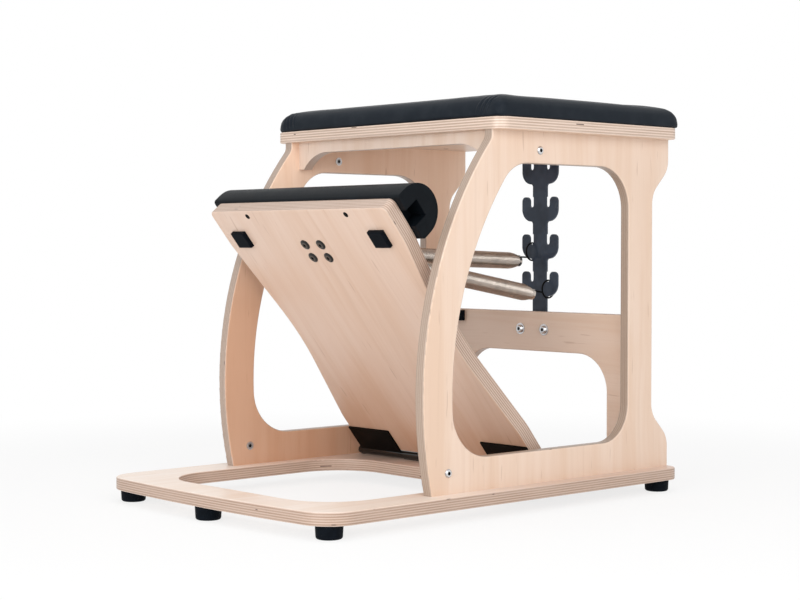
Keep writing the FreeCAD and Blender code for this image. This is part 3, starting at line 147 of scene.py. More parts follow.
class Graph:
    """A node tree with one main shader and a single way of adding nodes."""

    def __init__(self, owner, kind):
        owner.use_nodes = True
        self.owner = owner
        self.tree = owner.node_tree
        self.main = next(n for n in self.tree.nodes if n.type == kind)

    def node(self, kind, settings, values, output=0):
        made = self.tree.nodes.new(kind)
        for key, value in settings.items():
            setattr(made, key, value)
        for key, value in values.items():
            self.feed(made.inputs[key], value)
        return Sock(self, made.outputs[output])

    def feed(self, socket, value):
        if isinstance(value, Sock):
            self.tree.links.new(value.socket, socket)
        elif socket.type == "RGBA":
            socket.default_value = (*value, 1.0)
        else:
            socket.default_value = value

    def set(self, **values):
        """Set or feed the main shader's own sockets."""
        for key, value in values.items():
            self.feed(self.main.inputs[key.replace("_", " ")], value)
        return self.owner

    def place(self):
        return self.node("ShaderNodeTexCoord", {}, {}, "Object")

    def facing(self):
        return self.node("ShaderNodeTexCoord", {}, {}, "Normal")

    def ray(self, kind):
        return self.node("ShaderNodeLightPath", {}, {}, kind)

    def seen(self):
        """1 where the camera or a reflection looks at it, 0 where it only lights other things."""
        return self.ray("Is Camera Ray").most(self.ray("Is Glossy Ray"))

    def along(self, vector, direction):
        values = {0: vector, 1: direction}
        return self.node("ShaderNodeVectorMath", {"operation": "DOT_PRODUCT"}, values, "Value")

    def reach(self, vector):
        return self.node("ShaderNodeVectorMath", {"operation": "LENGTH"}, {0: vector}, "Value")

    def point(self, x, y, z):
        return self.node("ShaderNodeCombineXYZ", {}, {0: x, 1: y, 2: z})

    def grain(self, vector, scale=1.0, detail=2.0, rough=0.55, distortion=0.0):
        values = {"Vector": vector, "Scale": scale, "Detail": detail, "Roughness": rough,
                  "Distortion": distortion}
        return self.node("ShaderNodeTexNoise", {}, values)

    def cells(self, vector, scale):
        values = {"Vector": vector, "Scale": scale}
        return self.node("ShaderNodeTexVoronoi", {"feature": "DISTANCE_TO_EDGE"}, values)

    def mix(self, share, a, b, way="MIX"):
        settings = {"data_type": "RGBA", "blend_type": way}
        values = {MIX_SHARE: share, MIX_A: a, MIX_B: b}
        return self.node("ShaderNodeMix", settings, values, MIX_RESULT)

    def bump(self, height, strength, distance):
        values = {"Height": height, "Strength": strength, "Distance": distance}
        return self.node("ShaderNodeBump", {}, values)


def finish(name):
    return Graph(bpy.data.materials.new(name), "BSDF_PRINCIPLED")


def tinted(colour, shares):
    return tuple(c * s for c, s in zip(colour, shares))


def toned(colour, share):
    return tuple(c * share for c in colour)


# Birch plywood: shares of a board's veneer tone, and below them of its edge tone
WARM_SHARE = (0.93, 0.87, 0.81)
STREAK_SHARE = (0.70, 0.58, 0.48)
FLECK_SHARE = (0.56, 0.43, 0.34)
PLY_LIGHT_SHARE = (0.90, 0.90, 0.90)
PLY_DARK_SHARE = (0.58, 0.51, 0.46)
GLUE_SHARE = (0.36, 0.29, 0.25)
SLIT_SHARE = (0.12, 0.09, 0.08)

# Marks in the veneer: repeats per metre along and across the grain, a shift that sets each apart,
# detail, roughness, the levels between which it comes up, its strength and its share of the tone
Mark = namedtuple("Mark", "along across shift detail rough levels strength tone")
FIGURE = Mark(1.7, 22.0, 3.0, 4.0, 0.6, (0.36, 0.68), 1.0, WARM_SHARE)
CLOUD = Mark(3.4, 6.0, 11.0, 2.0, 0.5, (0.46, 0.74), 0.45, WARM_SHARE)
VEIN = Mark(2.6, 95.0, 19.0, 2.0, 0.5, (0.58, 0.74), 0.14, STREAK_SHARE)
FINE = Mark(9.0, 420.0, 7.0, 2.0, 0.6, (0.52, 0.80), 0.12, STREAK_SHARE)
FLECK = Mark(16.0, 170.0, 15.0, 1.0, 0.5, (0.71, 0.78), 0.38, FLECK_SHARE)
FIGURE_WARP = 0.5
BEND_ALONG, BEND_ACROSS, BEND_WIDTH = 1.3, 3.0, 0.06

# Marks on the edges: repeats per metre, shift from ply to ply, levels and strength
PLY_BLUR = 0.35
GLUE_WIDTH, GLUE_STRENGTH = 0.26, 0.65
TONE_SCALE, TONE_SHIFT, TONE_LEVELS, TONE_STRENGTH = 10.0, 3.7, (0.35, 0.75), 0.40
PORE_SCALE, PORE_ACROSS, PORE_LEVELS, PORE_STRENGTH = 300.0, 700.0, (0.5, 0.8), 0.25
SLIT_SCALE, SLIT_SHIFT, SLIT_LEVELS, SLIT_MIDDLE = 24.0, 5.3, (0.745, 0.765), (0.15, 0.75)

# Where a surface counts as a face of the board, and its lacquer
FACE_LEVELS = (0.62, 0.86)
FINE_HEIGHT = 0.6
PLY_ROUGH, PLY_ROUGH_SPREAD = 0.42, 0.14
LACQUER, LACQUER_ROUGH = 0.30, 0.22

# Each board: thickness axis, grain, number of plies, veneer tone, edge tone and how clearly its
# plies show
Board = namedtuple("Board", "node across grain plies pale edge stripes")
PALE = (0.800, 0.615, 0.490)
EDGE = (0.640, 0.490, 0.400)
BOARDS = (
    Board("base_board", AXIS_Z, AXIS_Y, 11, (0.930, 0.825, 0.745), (0.620, 0.465, 0.375), 1.0),
    Board("seat_board", AXIS_Z, AXIS_X, 9, PALE, (0.810, 0.650, 0.545), 1.0),
    # painted light: far panel's veneer paler and warmer than the near one's, for light bounced
    # inside the frame
    Board("side_panel_left", AXIS_X, AXIS_Z, 9, (0.950, 0.700, 0.540), (0.490, 0.380, 0.310), 0.55),
    Board("side_panel_right", AXIS_X, AXIS_Z, 9, (0.765, 0.595, 0.480), (0.480, 0.370, 0.295), 0.55),
    Board("rear_panel", AXIS_Y, AXIS_X, 9, (0.880, 0.715, 0.600), EDGE, 0.6),
    Board("front_apron", AXIS_Y, AXIS_Z, 9, (0.780, 0.645, 0.550), EDGE, 0.6),
    Board("seat_pad_backing", AXIS_Z, AXIS_X, 5, PALE, EDGE, 0.75),
    Board("dowels", AXIS_Y, AXIS_X, 1, PALE, EDGE, 0.0),
)
PEDAL = Board("pedal_board", PEDAL_NORMAL, PEDAL_ALONG, 13, (0.700, 0.530, 0.430), EDGE, 1.0)
BATTEN = Board("roll_batten", PEDAL_NORMAL, AXIS_X, 7, PALE, EDGE, 0.7)
FIRST_SEED, SEED_STEP, PEDAL_SEED, BATTEN_SEED = 2.3, 9.1, 91.7, 55.0

# Painted shade: boards whose veneer is darkened along the grain where shade falls on them, the base
# towards its back, the far side panel towards its foot and the pedal towards its heel: where it is
# darkest, where it is pale again, and the darkest share
HEEL = HINGE.dot(PEDAL_ALONG)
PAINTED_SHADE_ALONG_GRAIN = {
    "base_board": (0.12, -0.25, (0.76, 0.66, 0.62)),
    "side_panel_left": (0.30, 0.54, (0.63, 0.52, 0.45)),
    "pedal_board": (HEEL + 0.03, HEEL + 0.30, (0.80, 0.67, 0.58)),
}


def birch_ply(board, low, thickness, seed):
    """Lacquered birch plywood: streaked veneer on its two faces, striped plies on its edges."""
    g = finish("birch_" + board.node)
    p = g.place()
    u = g.along(p, board.grain)
    v = g.along(p, board.across.cross(board.grain))
    w = g.along(p, board.across)

    def mark(kind, side, warp=0.0):
        spot = g.point(u * kind.along, side * kind.across, seed + kind.shift)
        return g.grain(spot, detail=kind.detail, rough=kind.rough, distortion=warp)

    bend = g.grain(g.point(u * BEND_ALONG, v * BEND_ACROSS, seed)) - 0.5
    v_bent = v + bend * BEND_WIDTH
    fine = mark(FINE, v_bent)
    marks = ((FIGURE, mark(FIGURE, v_bent, FIGURE_WARP)), (CLOUD, mark(CLOUD, v)),
             (VEIN, mark(VEIN, v_bent)), (FINE, fine), (FLECK, mark(FLECK, v_bent)))
    veneer = board.pale
    for kind, level in marks:
        shows = level.step(*kind.levels) * kind.strength
        veneer = g.mix(shows, veneer, tinted(board.pale, kind.tone))
    # painted shade: on some boards the veneer is darkened along the grain, from the table above
    if board.node in PAINTED_SHADE_ALONG_GRAIN:
        start, end, share = PAINTED_SHADE_ALONG_GRAIN[board.node]
        veneer = g.mix(1.0 - u.step(start, end), veneer, share, "MULTIPLY")

    depth = (w - low) / thickness
    wave = (depth * (math.pi * board.plies)).sine()
    band = wave.step(-PLY_BLUR, PLY_BLUR)
    layer = (depth * board.plies).floor()
    tone = g.grain(g.point(u * TONE_SCALE, v * TONE_SCALE, layer * TONE_SHIFT + seed))
    pores = g.grain(g.point(u * PORE_SCALE, v * PORE_SCALE, w * PORE_ACROSS), detail=1.0)
    slit = g.grain(g.point(u * SLIT_SCALE, v * SLIT_SCALE, layer * SLIT_SHIFT + seed), detail=1.0)
    light = tinted(board.edge, PLY_LIGHT_SHARE)
    dark = tinted(board.edge, PLY_DARK_SHARE)
    glue = 1.0 - abs(wave).step(0.0, GLUE_WIDTH)
    stripe = g.mix((1.0 - band) * board.stripes, light, dark)
    stripe = g.mix(tone.step(*TONE_LEVELS) * TONE_STRENGTH, stripe, light)
    stripe = g.mix(pores.step(*PORE_LEVELS) * PORE_STRENGTH, stripe, dark)
    stripe = g.mix(glue * (board.stripes * GLUE_STRENGTH), stripe, tinted(board.edge, GLUE_SHARE))
    split = slit.step(*SLIT_LEVELS) * abs(wave).step(*SLIT_MIDDLE)
    stripe = g.mix(split, stripe, tinted(board.edge, SLIT_SHARE))

    flat = abs(g.along(g.facing(), board.across)).step(*FACE_LEVELS)
    height = fine * flat * FINE_HEIGHT + pores * (1.0 - flat)
    return g.set(Base_Color=g.mix(flat, stripe, veneer),
                 Roughness=PLY_ROUGH + fine * PLY_ROUGH_SPREAD,
                 Coat_Weight=LACQUER, Coat_Roughness=LACQUER_ROUGH,
                 Normal=g.bump(height, strength=0.10, distance=0.4 * MM))


def dress(material, *names):
    """Give CAD nodes a material."""
    for name in names:
        mesh = nodes[name].data
        mesh.materials.clear()
        mesh.materials.append(material)


def dress_boards():
    """Each board has its own grain direction and its plies across its own thickness."""
    for i, board in enumerate(BOARDS):
        low, high = (corner.dot(board.across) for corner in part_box(board.node))
        dress(birch_ply(board, low, high - low, FIRST_SEED + i * SEED_STEP), board.node)
    under = HINGE.dot(PEDAL_NORMAL)
    over = under + PEDAL_THICKNESS
    dress(birch_ply(PEDAL, under, PEDAL_THICKNESS, PEDAL_SEED), PEDAL.node)
    dress(birch_ply(BATTEN, over, BATTEN_THICKNESS, BATTEN_SEED), BATTEN.node)


# Vinyl: repeats per metre of its pressed grain and of its dusty clouds, and how high each stands
VINYL_GRAIN, VINYL_GRAIN_EDGE, VINYL_GRAIN_HEIGHT = 620.0, 0.22, 0.5
VINYL_CLOUD, VINYL_CLOUD_LEVELS, VINYL_CLOUD_HEIGHT = 34.0, (0.35, 0.75), 0.3
VINYL_ROUGH, VINYL_ROUGH_SPREAD = 0.38, 0.16
VINYL_SHEEN = 0.085


def vinyl(name, dark, dusty):
    """Black upholstery vinyl with a fine pressed grain and slightly dusty high spots."""
    g = finish(name)
    p = g.place()
    crease = g.cells(p, VINYL_GRAIN).step(0.0, VINYL_GRAIN_EDGE)
    soft = g.grain(p, VINYL_CLOUD, detail=3.0)
    height = crease * VINYL_GRAIN_HEIGHT + soft * VINYL_CLOUD_HEIGHT
    return g.set(Base_Color=g.mix(soft.step(*VINYL_CLOUD_LEVELS), dark, dusty),
                 Roughness=VINYL_ROUGH + soft * VINYL_ROUGH_SPREAD,
                 Specular_IOR_Level=VINYL_SHEEN,
                 Normal=g.bump(height, strength=0.16, distance=0.4 * MM))


RUBBER_DARK = (0.0014, 0.0028, 0.0052)
RUBBER_DUSTY = (0.0034, 0.0056, 0.0094)
RUBBER_MOTTLE, RUBBER_LEVELS = 130.0, (0.3, 0.75)
RUBBER_ROUGH, RUBBER_ROUGH_SPREAD = 0.55, 0.2
RUBBER_SHEEN = 0.07


def rubber(name):
    """Black moulded rubber, faintly mottled."""
    g = finish(name)
    mottle = g.grain(g.place(), RUBBER_MOTTLE, detail=4.0)
    return g.set(Base_Color=g.mix(mottle.step(*RUBBER_LEVELS), RUBBER_DARK, RUBBER_DUSTY),
                 Roughness=RUBBER_ROUGH + mottle * RUBBER_ROUGH_SPREAD,
                 Specular_IOR_Level=RUBBER_SHEEN,
                 Normal=g.bump(mottle, strength=0.12, distance=0.3 * MM))


# Steel: repeats per metre of its marks, the levels they come up at and the share they leave
STEEL_ROUGH_SPREAD = 0.10
PEEL_SCALE = 900.0
WIPE_SCALE, WIPE_LEVELS, WIPE_SHARE = 22.0, (0.3, 0.7), 1.7
MARK_SCALE = 700.0
STAIN_SCALE, STAIN_LEVELS, STAIN_SHARE = 60.0, (0.4, 0.8), 0.8


def coated_steel(name, rough, shade, gloss):
    """Black coated steel with a faint orange-peel surface."""
    g = finish(name)
    p = g.place()
    peel = g.grain(p, PEEL_SCALE, detail=1.0)
    wipe = g.grain(p, WIPE_SCALE, detail=3.0)
    return g.set(Base_Color=g.mix(wipe.step(*WIPE_LEVELS), shade, toned(shade, WIPE_SHARE)),
                 Roughness=rough + wipe * STEEL_ROUGH_SPREAD, Specular_IOR_Level=gloss,
                 Normal=g.bump(peel, strength=0.05, distance=0.2 * MM))


def bright_steel(name, colour, rough):
    """Plated steel with fine turning marks."""
    g = finish(name)
    p = g.place()
    marks = g.grain(p, MARK_SCALE)
    stain = g.grain(p, STAIN_SCALE, detail=3.0)
    return g.set(Base_Color=g.mix(stain.step(*STAIN_LEVELS), colour, toned(colour, STAIN_SHARE)),
                 Metallic=1.0, Roughness=rough + marks * STEEL_ROUGH_SPREAD,
                 Normal=g.bump(marks, strength=0.06, distance=0.2 * MM))


BARREL_REACH = (7.0 * MM, 8.0 * MM)
BARREL_ROUGH = 0.10


def shine_barrel(material):
    """A coat of lacquer round the hinge's pin only."""
    g = Graph(material, "BSDF_PRINCIPLED")
    p = g.place()
    back = g.along(p, AXIS_Y) - HINGE.y
    up = g.along(p, AXIS_Z) - HINGE.z
    apart = (back * back + up * up).root()
    g.set(Coat_Weight=1.0 - apart.step(*BARREL_REACH), Coat_Roughness=BARREL_ROUGH)


SAME_POINT = 0.001 * MM


def solid_middles(node):
    """The middle of each separate solid in a node."""
    bm = bmesh.new()
    bm.from_mesh(nodes[node].data)
    bmesh.ops.remove_doubles(bm, verts=bm.verts, dist=SAME_POINT)
    seen = set()
    middles = []
    for vertex in bm.verts:
        if vertex in seen:
            continue
        seen.add(vertex)
        found = [vertex]
        for reached in found:
            fresh = [e.other_vert(reached) for e in reached.link_edges]
            fresh = [f for f in fresh if f not in seen]
            seen.update(fresh)
            found += fresh
        low = Vector([min(f.co[i] for f in found) for i in range(3)])
        high = Vector([max(f.co[i] for f in found) for i in range(3)])
        middles.append((low + high) / 2)
    bm.free()
    return middles


# Bolts: rings from the socket outwards, each an outer radius and a tone; the last has no edge. The
# first ring, black to the socket's radius, is painted shade in the socket.
NO_EDGE = 0.0
PAST_ALL_BOLTS = 1.0
RING_BLUR = 0.25 * MM
TURNING_SCALE, TURNING_DRIFT = 2600.0, 40.0
TURNING_LEVELS, TURNING_STRENGTH, TURNING_SHARE = (0.45, 0.8), 0.25, 0.7
SOCKET = 2.9 * MM
PAINTED_SOCKET_SHADE = (0.012, 0.012, 0.013)
ZINC_BRIGHT = (0.72, 0.72, 0.73)
ZINC_RIM = (0.50, 0.50, 0.51)
# the bracket bolts' first ring, black to 3 mm, is painted shade in their sockets
DARK_BOLT = ((3.0 * MM, (0.006, 0.006, 0.006)), (5.6 * MM, (0.075, 0.062, 0.050)),
             (NO_EDGE, (0.014, 0.013, 0.012)))


def zinc_rings(edge, inner, outer):
    return (SOCKET, PAINTED_SOCKET_SHADE), (edge, inner), (NO_EDGE, outer)


def bolt_steel(node, u, v, rings, metal, rough):
    """Turned steel whose tone changes in rings round each bolt's axis, black in the socket for
    painted shade.
    """
    g = finish("turned_" + node)
    p = g.place()
    along_u = g.along(p, u)
    along_v = g.along(p, v)
    radius = PAST_ALL_BOLTS
    for middle in solid_middles(node):
        across = along_u - middle.dot(u)
        up = along_v - middle.dot(v)
        apart = (across * across + up * up).root()
        radius = apart.least(radius)
    spot = g.point(radius * TURNING_SCALE, along_u * TURNING_DRIFT, along_v * TURNING_DRIFT)
    marks = g.grain(spot)
    colour = rings[0][1]
    for (edge, _), (_, shade) in zip(rings, rings[1:]):
        colour = g.mix(radius.step(edge - RING_BLUR, edge + RING_BLUR), colour, shade)
    worn = marks.step(*TURNING_LEVELS) * TURNING_STRENGTH
    dress(g.set(Base_Color=g.mix(worn, colour, toned(rings[-1][1], TURNING_SHARE)),
                Metallic=metal, Roughness=rough + marks * STEEL_ROUGH_SPREAD,
                Normal=g.bump(marks, strength=0.05, distance=0.2 * MM)), node)


# Making pieces
SHARP_COVER = math.radians(50.0)
SHARP_WIRE = math.radians(80.0)
BOX_FACES = ((0, 2, 3, 1), (4, 5, 7, 6), (0, 1, 5, 4), (1, 3, 7, 5), (3, 2, 6, 7), (2, 0, 4, 6))


def new_piece(name, points, faces, material=None):
    mesh = bpy.data.meshes.new(name)
    mesh.from_pydata([tuple(p) for p in points], [], faces)
    mesh.update()
    piece = bpy.data.objects.new(name, mesh)
    bpy.context.scene.collection.objects.link(piece)
    if material:
        mesh.materials.append(material)
    return piece


def ring_faces(rings, count):
    """Quads between consecutive rings of points, closed at both ends."""
    faces = [tuple(reversed(range(count)))]
    for r in range(rings - 1):
        for i in range(count):
            a, b = r * count + i, r * count + (i + 1) % count
            faces.append((a, b, b + count, a + count))
    faces.append(tuple(range((rings - 1) * count, rings * count)))
    return faces


@contextmanager
def edited(piece):
    """A piece's mesh, opened for changes and then written back."""
    bm = bmesh.new()
    bm.from_mesh(piece.data)
    yield bm
    bm.to_mesh(piece.data)
    bm.free()


def face_outwards(piece):
    with edited(piece) as bm:
        bmesh.ops.recalc_face_normals(bm, faces=bm.faces)


def evaluated(piece):
    return piece.evaluated_get(bpy.context.evaluated_depsgraph_get())


def baked(piece, kind, **settings):
    """Run a modifier on a piece and keep what it makes as the piece's own mesh."""
    modifier = piece.modifiers.new(kind.lower(), kind)
    for key, value in settings.items():
        setattr(modifier, key, value)
    made = bpy.data.meshes.new_from_object(evaluated(piece))
    piece.modifiers.remove(modifier)
    made.name = piece.name
    piece.data = made


def cut_box(piece, place, x, y, z):
    """Cut a box out of a piece; place turns the box's own coordinates into the chair's."""
    tool = new_piece("cutter", [place(a, b, c) for c in z for b in y for a in x], BOX_FACES)
    face_outwards(tool)
    baked(piece, "BOOLEAN", operation="DIFFERENCE", object=tool, solver="EXACT")
    bpy.data.objects.remove(tool)


def smooth_faces(piece, sharp):
    """Shade a piece smoothly, apart from edges that turn by more than the sharp angle."""
    with edited(piece) as bm:
        for face in bm.faces:
            face.smooth = True
        for edge in bm.edges:
            edge.smooth = len(edge.link_faces) != 2 or edge.calc_face_angle() < sharp


def fill_box(piece, low, high):
    """Stretch a piece along each axis until it fills a box."""
    for i in range(3):
        least = min(v.co[i] for v in piece.data.vertices)
        most = max(v.co[i] for v in piece.data.vertices)
        for vertex in piece.data.vertices:
            vertex.co[i] = low[i] + (vertex.co[i] - least) * (high[i] - low[i]) / (most - least)


CLOTH_FRAMES = 20
CLOTH_PRESSURE = 4.0
HELD_SHARE = 0.6


def settle(piece, held, cap):
    """Let the cover swell over its foam as cloth under pressure, by no more than the cap."""
    group = piece.vertex_groups.new(name="held")
    group.add([v.index for v in piece.data.vertices if held(v.co)], 1.0, "REPLACE")
    cloth = piece.modifiers.new("cover", "CLOTH")
    cloth.settings.vertex_group_mass = "held"
    cloth.settings.use_pressure = True
    cloth.settings.uniform_pressure_force = CLOTH_PRESSURE
    cloth.settings.effector_weights.gravity = 0.0
    cloth.collision_settings.use_collision = False
    cloth.point_cache.frame_start = 1
    cloth.point_cache.frame_end = CLOTH_FRAMES
    scene = bpy.context.scene
    for number in range(1, CLOTH_FRAMES + 1):
        scene.frame_set(number)
    swollen = evaluated(piece).data
    moves = [b.co - a.co for a, b in zip(piece.data.vertices, swollen.vertices)]
    piece.modifiers.remove(cloth)
    piece.vertex_groups.clear()
    scene.frame_set(1)
    for vertex, move in zip(piece.data.vertices, moves):
        if move.length > 0.0:
            vertex.co += move * (cap * math.tanh(move.length / cap) / move.length)


# Seat pad: its side, the round over its edge and its crown
PAD_TUCK = 2.0 * MM
PAD_EDGE = 36.5 * MM
PAD_CROWN = 5.0 * MM
PAD_ROUND_WIDTH = 22.0 * MM
PAD_ROUND_HEIGHT = 28.0 * MM
PAD_SIDE_SHARES = ((1.0, 0.0), (0.3, 0.09), (0.0, 0.2))
PAD_ROUND_STEPS, PAD_ROUND_FIRST = 9, 2
PAD_CROWN_STEPS = ((45.0 * MM, 0.5), (68.0 * MM, 0.78), (100.0 * MM, 0.94), (140.0 * MM, 1.0))
PAD_CORNERS = (16.0 * MM, 14.0 * MM, 16.0 * MM, 25.0 * MM)
PAD_CORNER_STEPS, PAD_SIDE_STEPS = 10, 30
PAD_REST = Vector((0.0, 0.0, 0.8 * MM))
PAD_SIDE_DRAW = 1.5 * MM
PAD_SWELL = 1.8 * MM
PAD_VOXEL = 5.5 * MM
BACKING_FIT = 0.3 * MM

# Pleats beside the pad's corners: places, slant, section, and how each fades up and down the face
PLEAT_START = 20.0 * MM
PLEAT_OFFSETS = (3.0 * MM, 12.0 * MM, 22.0 * MM)
PLEAT_SLANT = 13.0 * MM
PLEAT_WIDTH = 1.8 * MM
PLEAT_DEPTH = 1.5 * MM
PLEAT_EASE = 0.22
PLEAT_LIP = 0.7 * MM
PLEAT_LIP_PLACE, PLEAT_LIP_WIDTH = 2.1, 1.2
PLEAT_LOW, PLEAT_SPAN, PLEAT_LEVEL = 0.06, 0.86, 0.75
PLEAT_CUTS = 2


def pad_outline(half_x, half_y):
    """Points round the pad, its sides drawn in a little between the corners."""
    points = []
    corners = ((1, -1, -90), (1, 1, 0), (-1, 1, 90), (-1, -1, 180))
    for i, (sx, sy, start) in enumerate(corners):
        arc = [math.radians(start + 90.0 * k / PAD_CORNER_STEPS)
               for k in range(PAD_CORNER_STEPS + 1)]
        radius = PAD_CORNERS[i]
        points += [(sx * (half_x - radius) + radius * math.cos(a),
                    sy * (half_y - radius) + radius * math.sin(a)) for a in arc]
        ax, ay = points[-1]
        nx, ny = math.cos(arc[-1]), math.sin(arc[-1])
        tx, ty, _ = corners[(i + 1) % 4]
        radius = PAD_CORNERS[(i + 1) % 4]
        bx = tx * (half_x - radius) + radius * nx
        by = ty * (half_y - radius) + radius * ny
        for k in range(1, PAD_SIDE_STEPS):
            t = k / PAD_SIDE_STEPS
            draw = PAD_SIDE_DRAW * math.sin(t * math.pi)
            points.append((ax + (bx - ax) * t - nx * draw, ay + (by - ay) * t - ny * draw))
    return points


def pad_profile():
    """The pad's section from its tucked foot to its crown: inset from the outline, and rise."""
    profile = [(PAD_TUCK * inset, PAD_EDGE * rise) for inset, rise in PAD_SIDE_SHARES]
    for k in range(PAD_ROUND_FIRST, PAD_ROUND_STEPS + 1):
        turn = math.pi / (2 * PAD_ROUND_STEPS) * k
        profile.append((PAD_ROUND_WIDTH * (1 - math.cos(turn)),
                        PAD_EDGE - PAD_ROUND_HEIGHT * (1 - math.sin(turn))))
    return profile + [(inset, PAD_EDGE + PAD_CROWN * share) for inset, share in PAD_CROWN_STEPS]


def seat_cushion(material):
    """The seat pad: vinyl over firm foam, rounded over its edge, pleated at its corners."""
    low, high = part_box("seat_pad")
    centre = (low + high) / 2
    half_x, half_y = (high.x - low.x) / 2, (high.y - low.y) / 2
    outline = pad_outline(half_x, half_y)
    profile = pad_profile()
    fall = 1 - PAD_SWELL / (PAD_EDGE + PAD_CROWN)
    points = []
    for inset, rise in profile:
        drawn = inset + PAD_SWELL
        points += [(centre.x + x * (half_x - drawn) / half_x,
                    centre.y + y * (half_y - drawn) / half_y,
                    low.z + rise * fall) for x, y in outline]
    piece = new_piece("seat_cushion", points, ring_faces(len(profile), len(outline)), material)
    baked(piece, "REMESH", mode="VOXEL", voxel_size=PAD_VOXEL)
    settle(piece, lambda co: co.z < low.z + PAD_VOXEL * HELD_SHARE, PAD_SWELL)
    baked(piece, "SUBSURF", levels=1)
    fill_box(piece, low, high - PAD_REST)
    pleat_corners(piece, low, high)
    back_low, back_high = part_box("seat_pad_backing")
    cut_box(piece, lambda x, y, z: (x, y, z),
            (back_low.x - BACKING_FIT, back_high.x + BACKING_FIT),
            (back_low.y - BACKING_FIT, back_high.y + BACKING_FIT),
            (back_low.z - PAD_EDGE, back_high.z + BACKING_FIT))
    smooth_faces(piece, SHARP_COVER)
    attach(piece, "frame")
    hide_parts("seat_pad")


def pleat_corners(piece, low, high):
    """Press slanted pleats into the front and back faces beside each corner."""
    start = (high.x - low.x) / 2 - PLEAT_START
    centre = (low.x + high.x) / 2
    span = PLEAT_OFFSETS[-1] + PLEAT_SLANT + 4 * PLEAT_WIDTH
    height = high.z - low.z

    def close(co):
        along = start - abs(co.x - centre)
        depth = min(co.y - low.y, high.y - co.y)
        beside = -PLEAT_START < along < span
        return beside and depth < PAD_ROUND_WIDTH and co.z > low.z + PAD_TUCK

    with edited(piece) as bm:
        edges = [e for e in bm.edges if close(e.verts[0].co) and close(e.verts[1].co)]
        bmesh.ops.subdivide_edges(bm, edges=edges, cuts=PLEAT_CUTS, use_grid_fill=True, smooth=0.0)
        bm.normal_update()
        moves = []
        for vertex in bm.verts:
            co = vertex.co
            if not close(co):
                continue
            rise = (co.z - low.z) / height
            along = start - abs(co.x - centre)
            fade = math.sin(min(max((rise - PLEAT_LOW) / PLEAT_SPAN, 0.0), 1.0) * math.pi)
            press = 0.0
            for k, offset in enumerate(PLEAT_OFFSETS):
                apart = (along - offset - PLEAT_SLANT * (PLEAT_LEVEL - rise)) / PLEAT_WIDTH
                depth = PLEAT_DEPTH * (1.0 - PLEAT_EASE * k)
                lip = math.exp(-((apart - PLEAT_LIP_PLACE) / PLEAT_LIP_WIDTH) ** 2)
                press += depth * math.exp(-apart * apart) - PLEAT_LIP * lip
            moves.append((vertex, vertex.normal * (press * fade)))
        for vertex, move in moves:
            vertex.co -= move


# Pedal roll, measured on the pedal: reach ahead of the hinge and rise above its axis
ROLL_HALF = 228.0 * MM
ROLL_FAR = 544.0 * MM
ROLL_RADIUS = 42.5 * MM
ROLL_FLOOR = 24.0 * MM
ROLL_TOP = 85.0 * MM
ROLL_WALL_STEPS, ROLL_ARC_STEPS, ROLL_STATIONS = 5, 36, 40
ROLL_SWELL = 1.2 * MM
ROLL_VOXEL = 4.0 * MM
ROLL_SPARE = 8.0 * MM
ROLL_TRIM_REACH = (ROLL_FAR - 3 * ROLL_RADIUS, ROLL_FAR + ROLL_RADIUS)
ROLL_TRIM_RISE = (0.0, 2 * ROLL_TOP)
ROLL_POCKET_DEPTH = 32.0 * MM
ROLL_POCKET_REACH = (486.5 * MM, 516.5 * MM)
ROLL_POCKET_RISE = (20.0 * MM, 51.0 * MM)
BATTEN_HALF = 185.4 * MM
BATTEN_REACH = (486.6 * MM, 537.4 * MM)
BATTEN_RISE = (20.0 * MM, 39.4 * MM)
BRACKET_HALF = 46.5 * MM
BRACKET_REACH = (400.0 * MM, 482.5 * MM)
BRACKET_RISE = (20.0 * MM, 28.5 * MM)


def pedal_point(x, reach, rise):
    return Vector((x, HINGE.y, HINGE.z)) + PEDAL_ALONG * reach + PEDAL_NORMAL * rise


def roll_section(inset):
    """The D-shaped section, drawn in by an inset above its flat side."""
    radius = ROLL_RADIUS - inset
    middle = ROLL_FAR - ROLL_RADIUS
    wall = ROLL_TOP - ROLL_RADIUS
    climb = wall - ROLL_FLOOR
    turns = [math.pi * k / ROLL_ARC_STEPS for k in range(ROLL_ARC_STEPS + 1)]
    section = [(middle - radius, ROLL_FLOOR + climb * k / ROLL_WALL_STEPS)
               for k in range(ROLL_WALL_STEPS)]
    section += [(middle - radius * math.cos(t), wall + radius * math.sin(t)) for t in turns]
    section += [(middle + radius, wall - climb * k / ROLL_WALL_STEPS)
                for k in range(1, ROLL_WALL_STEPS + 1)]
    return section


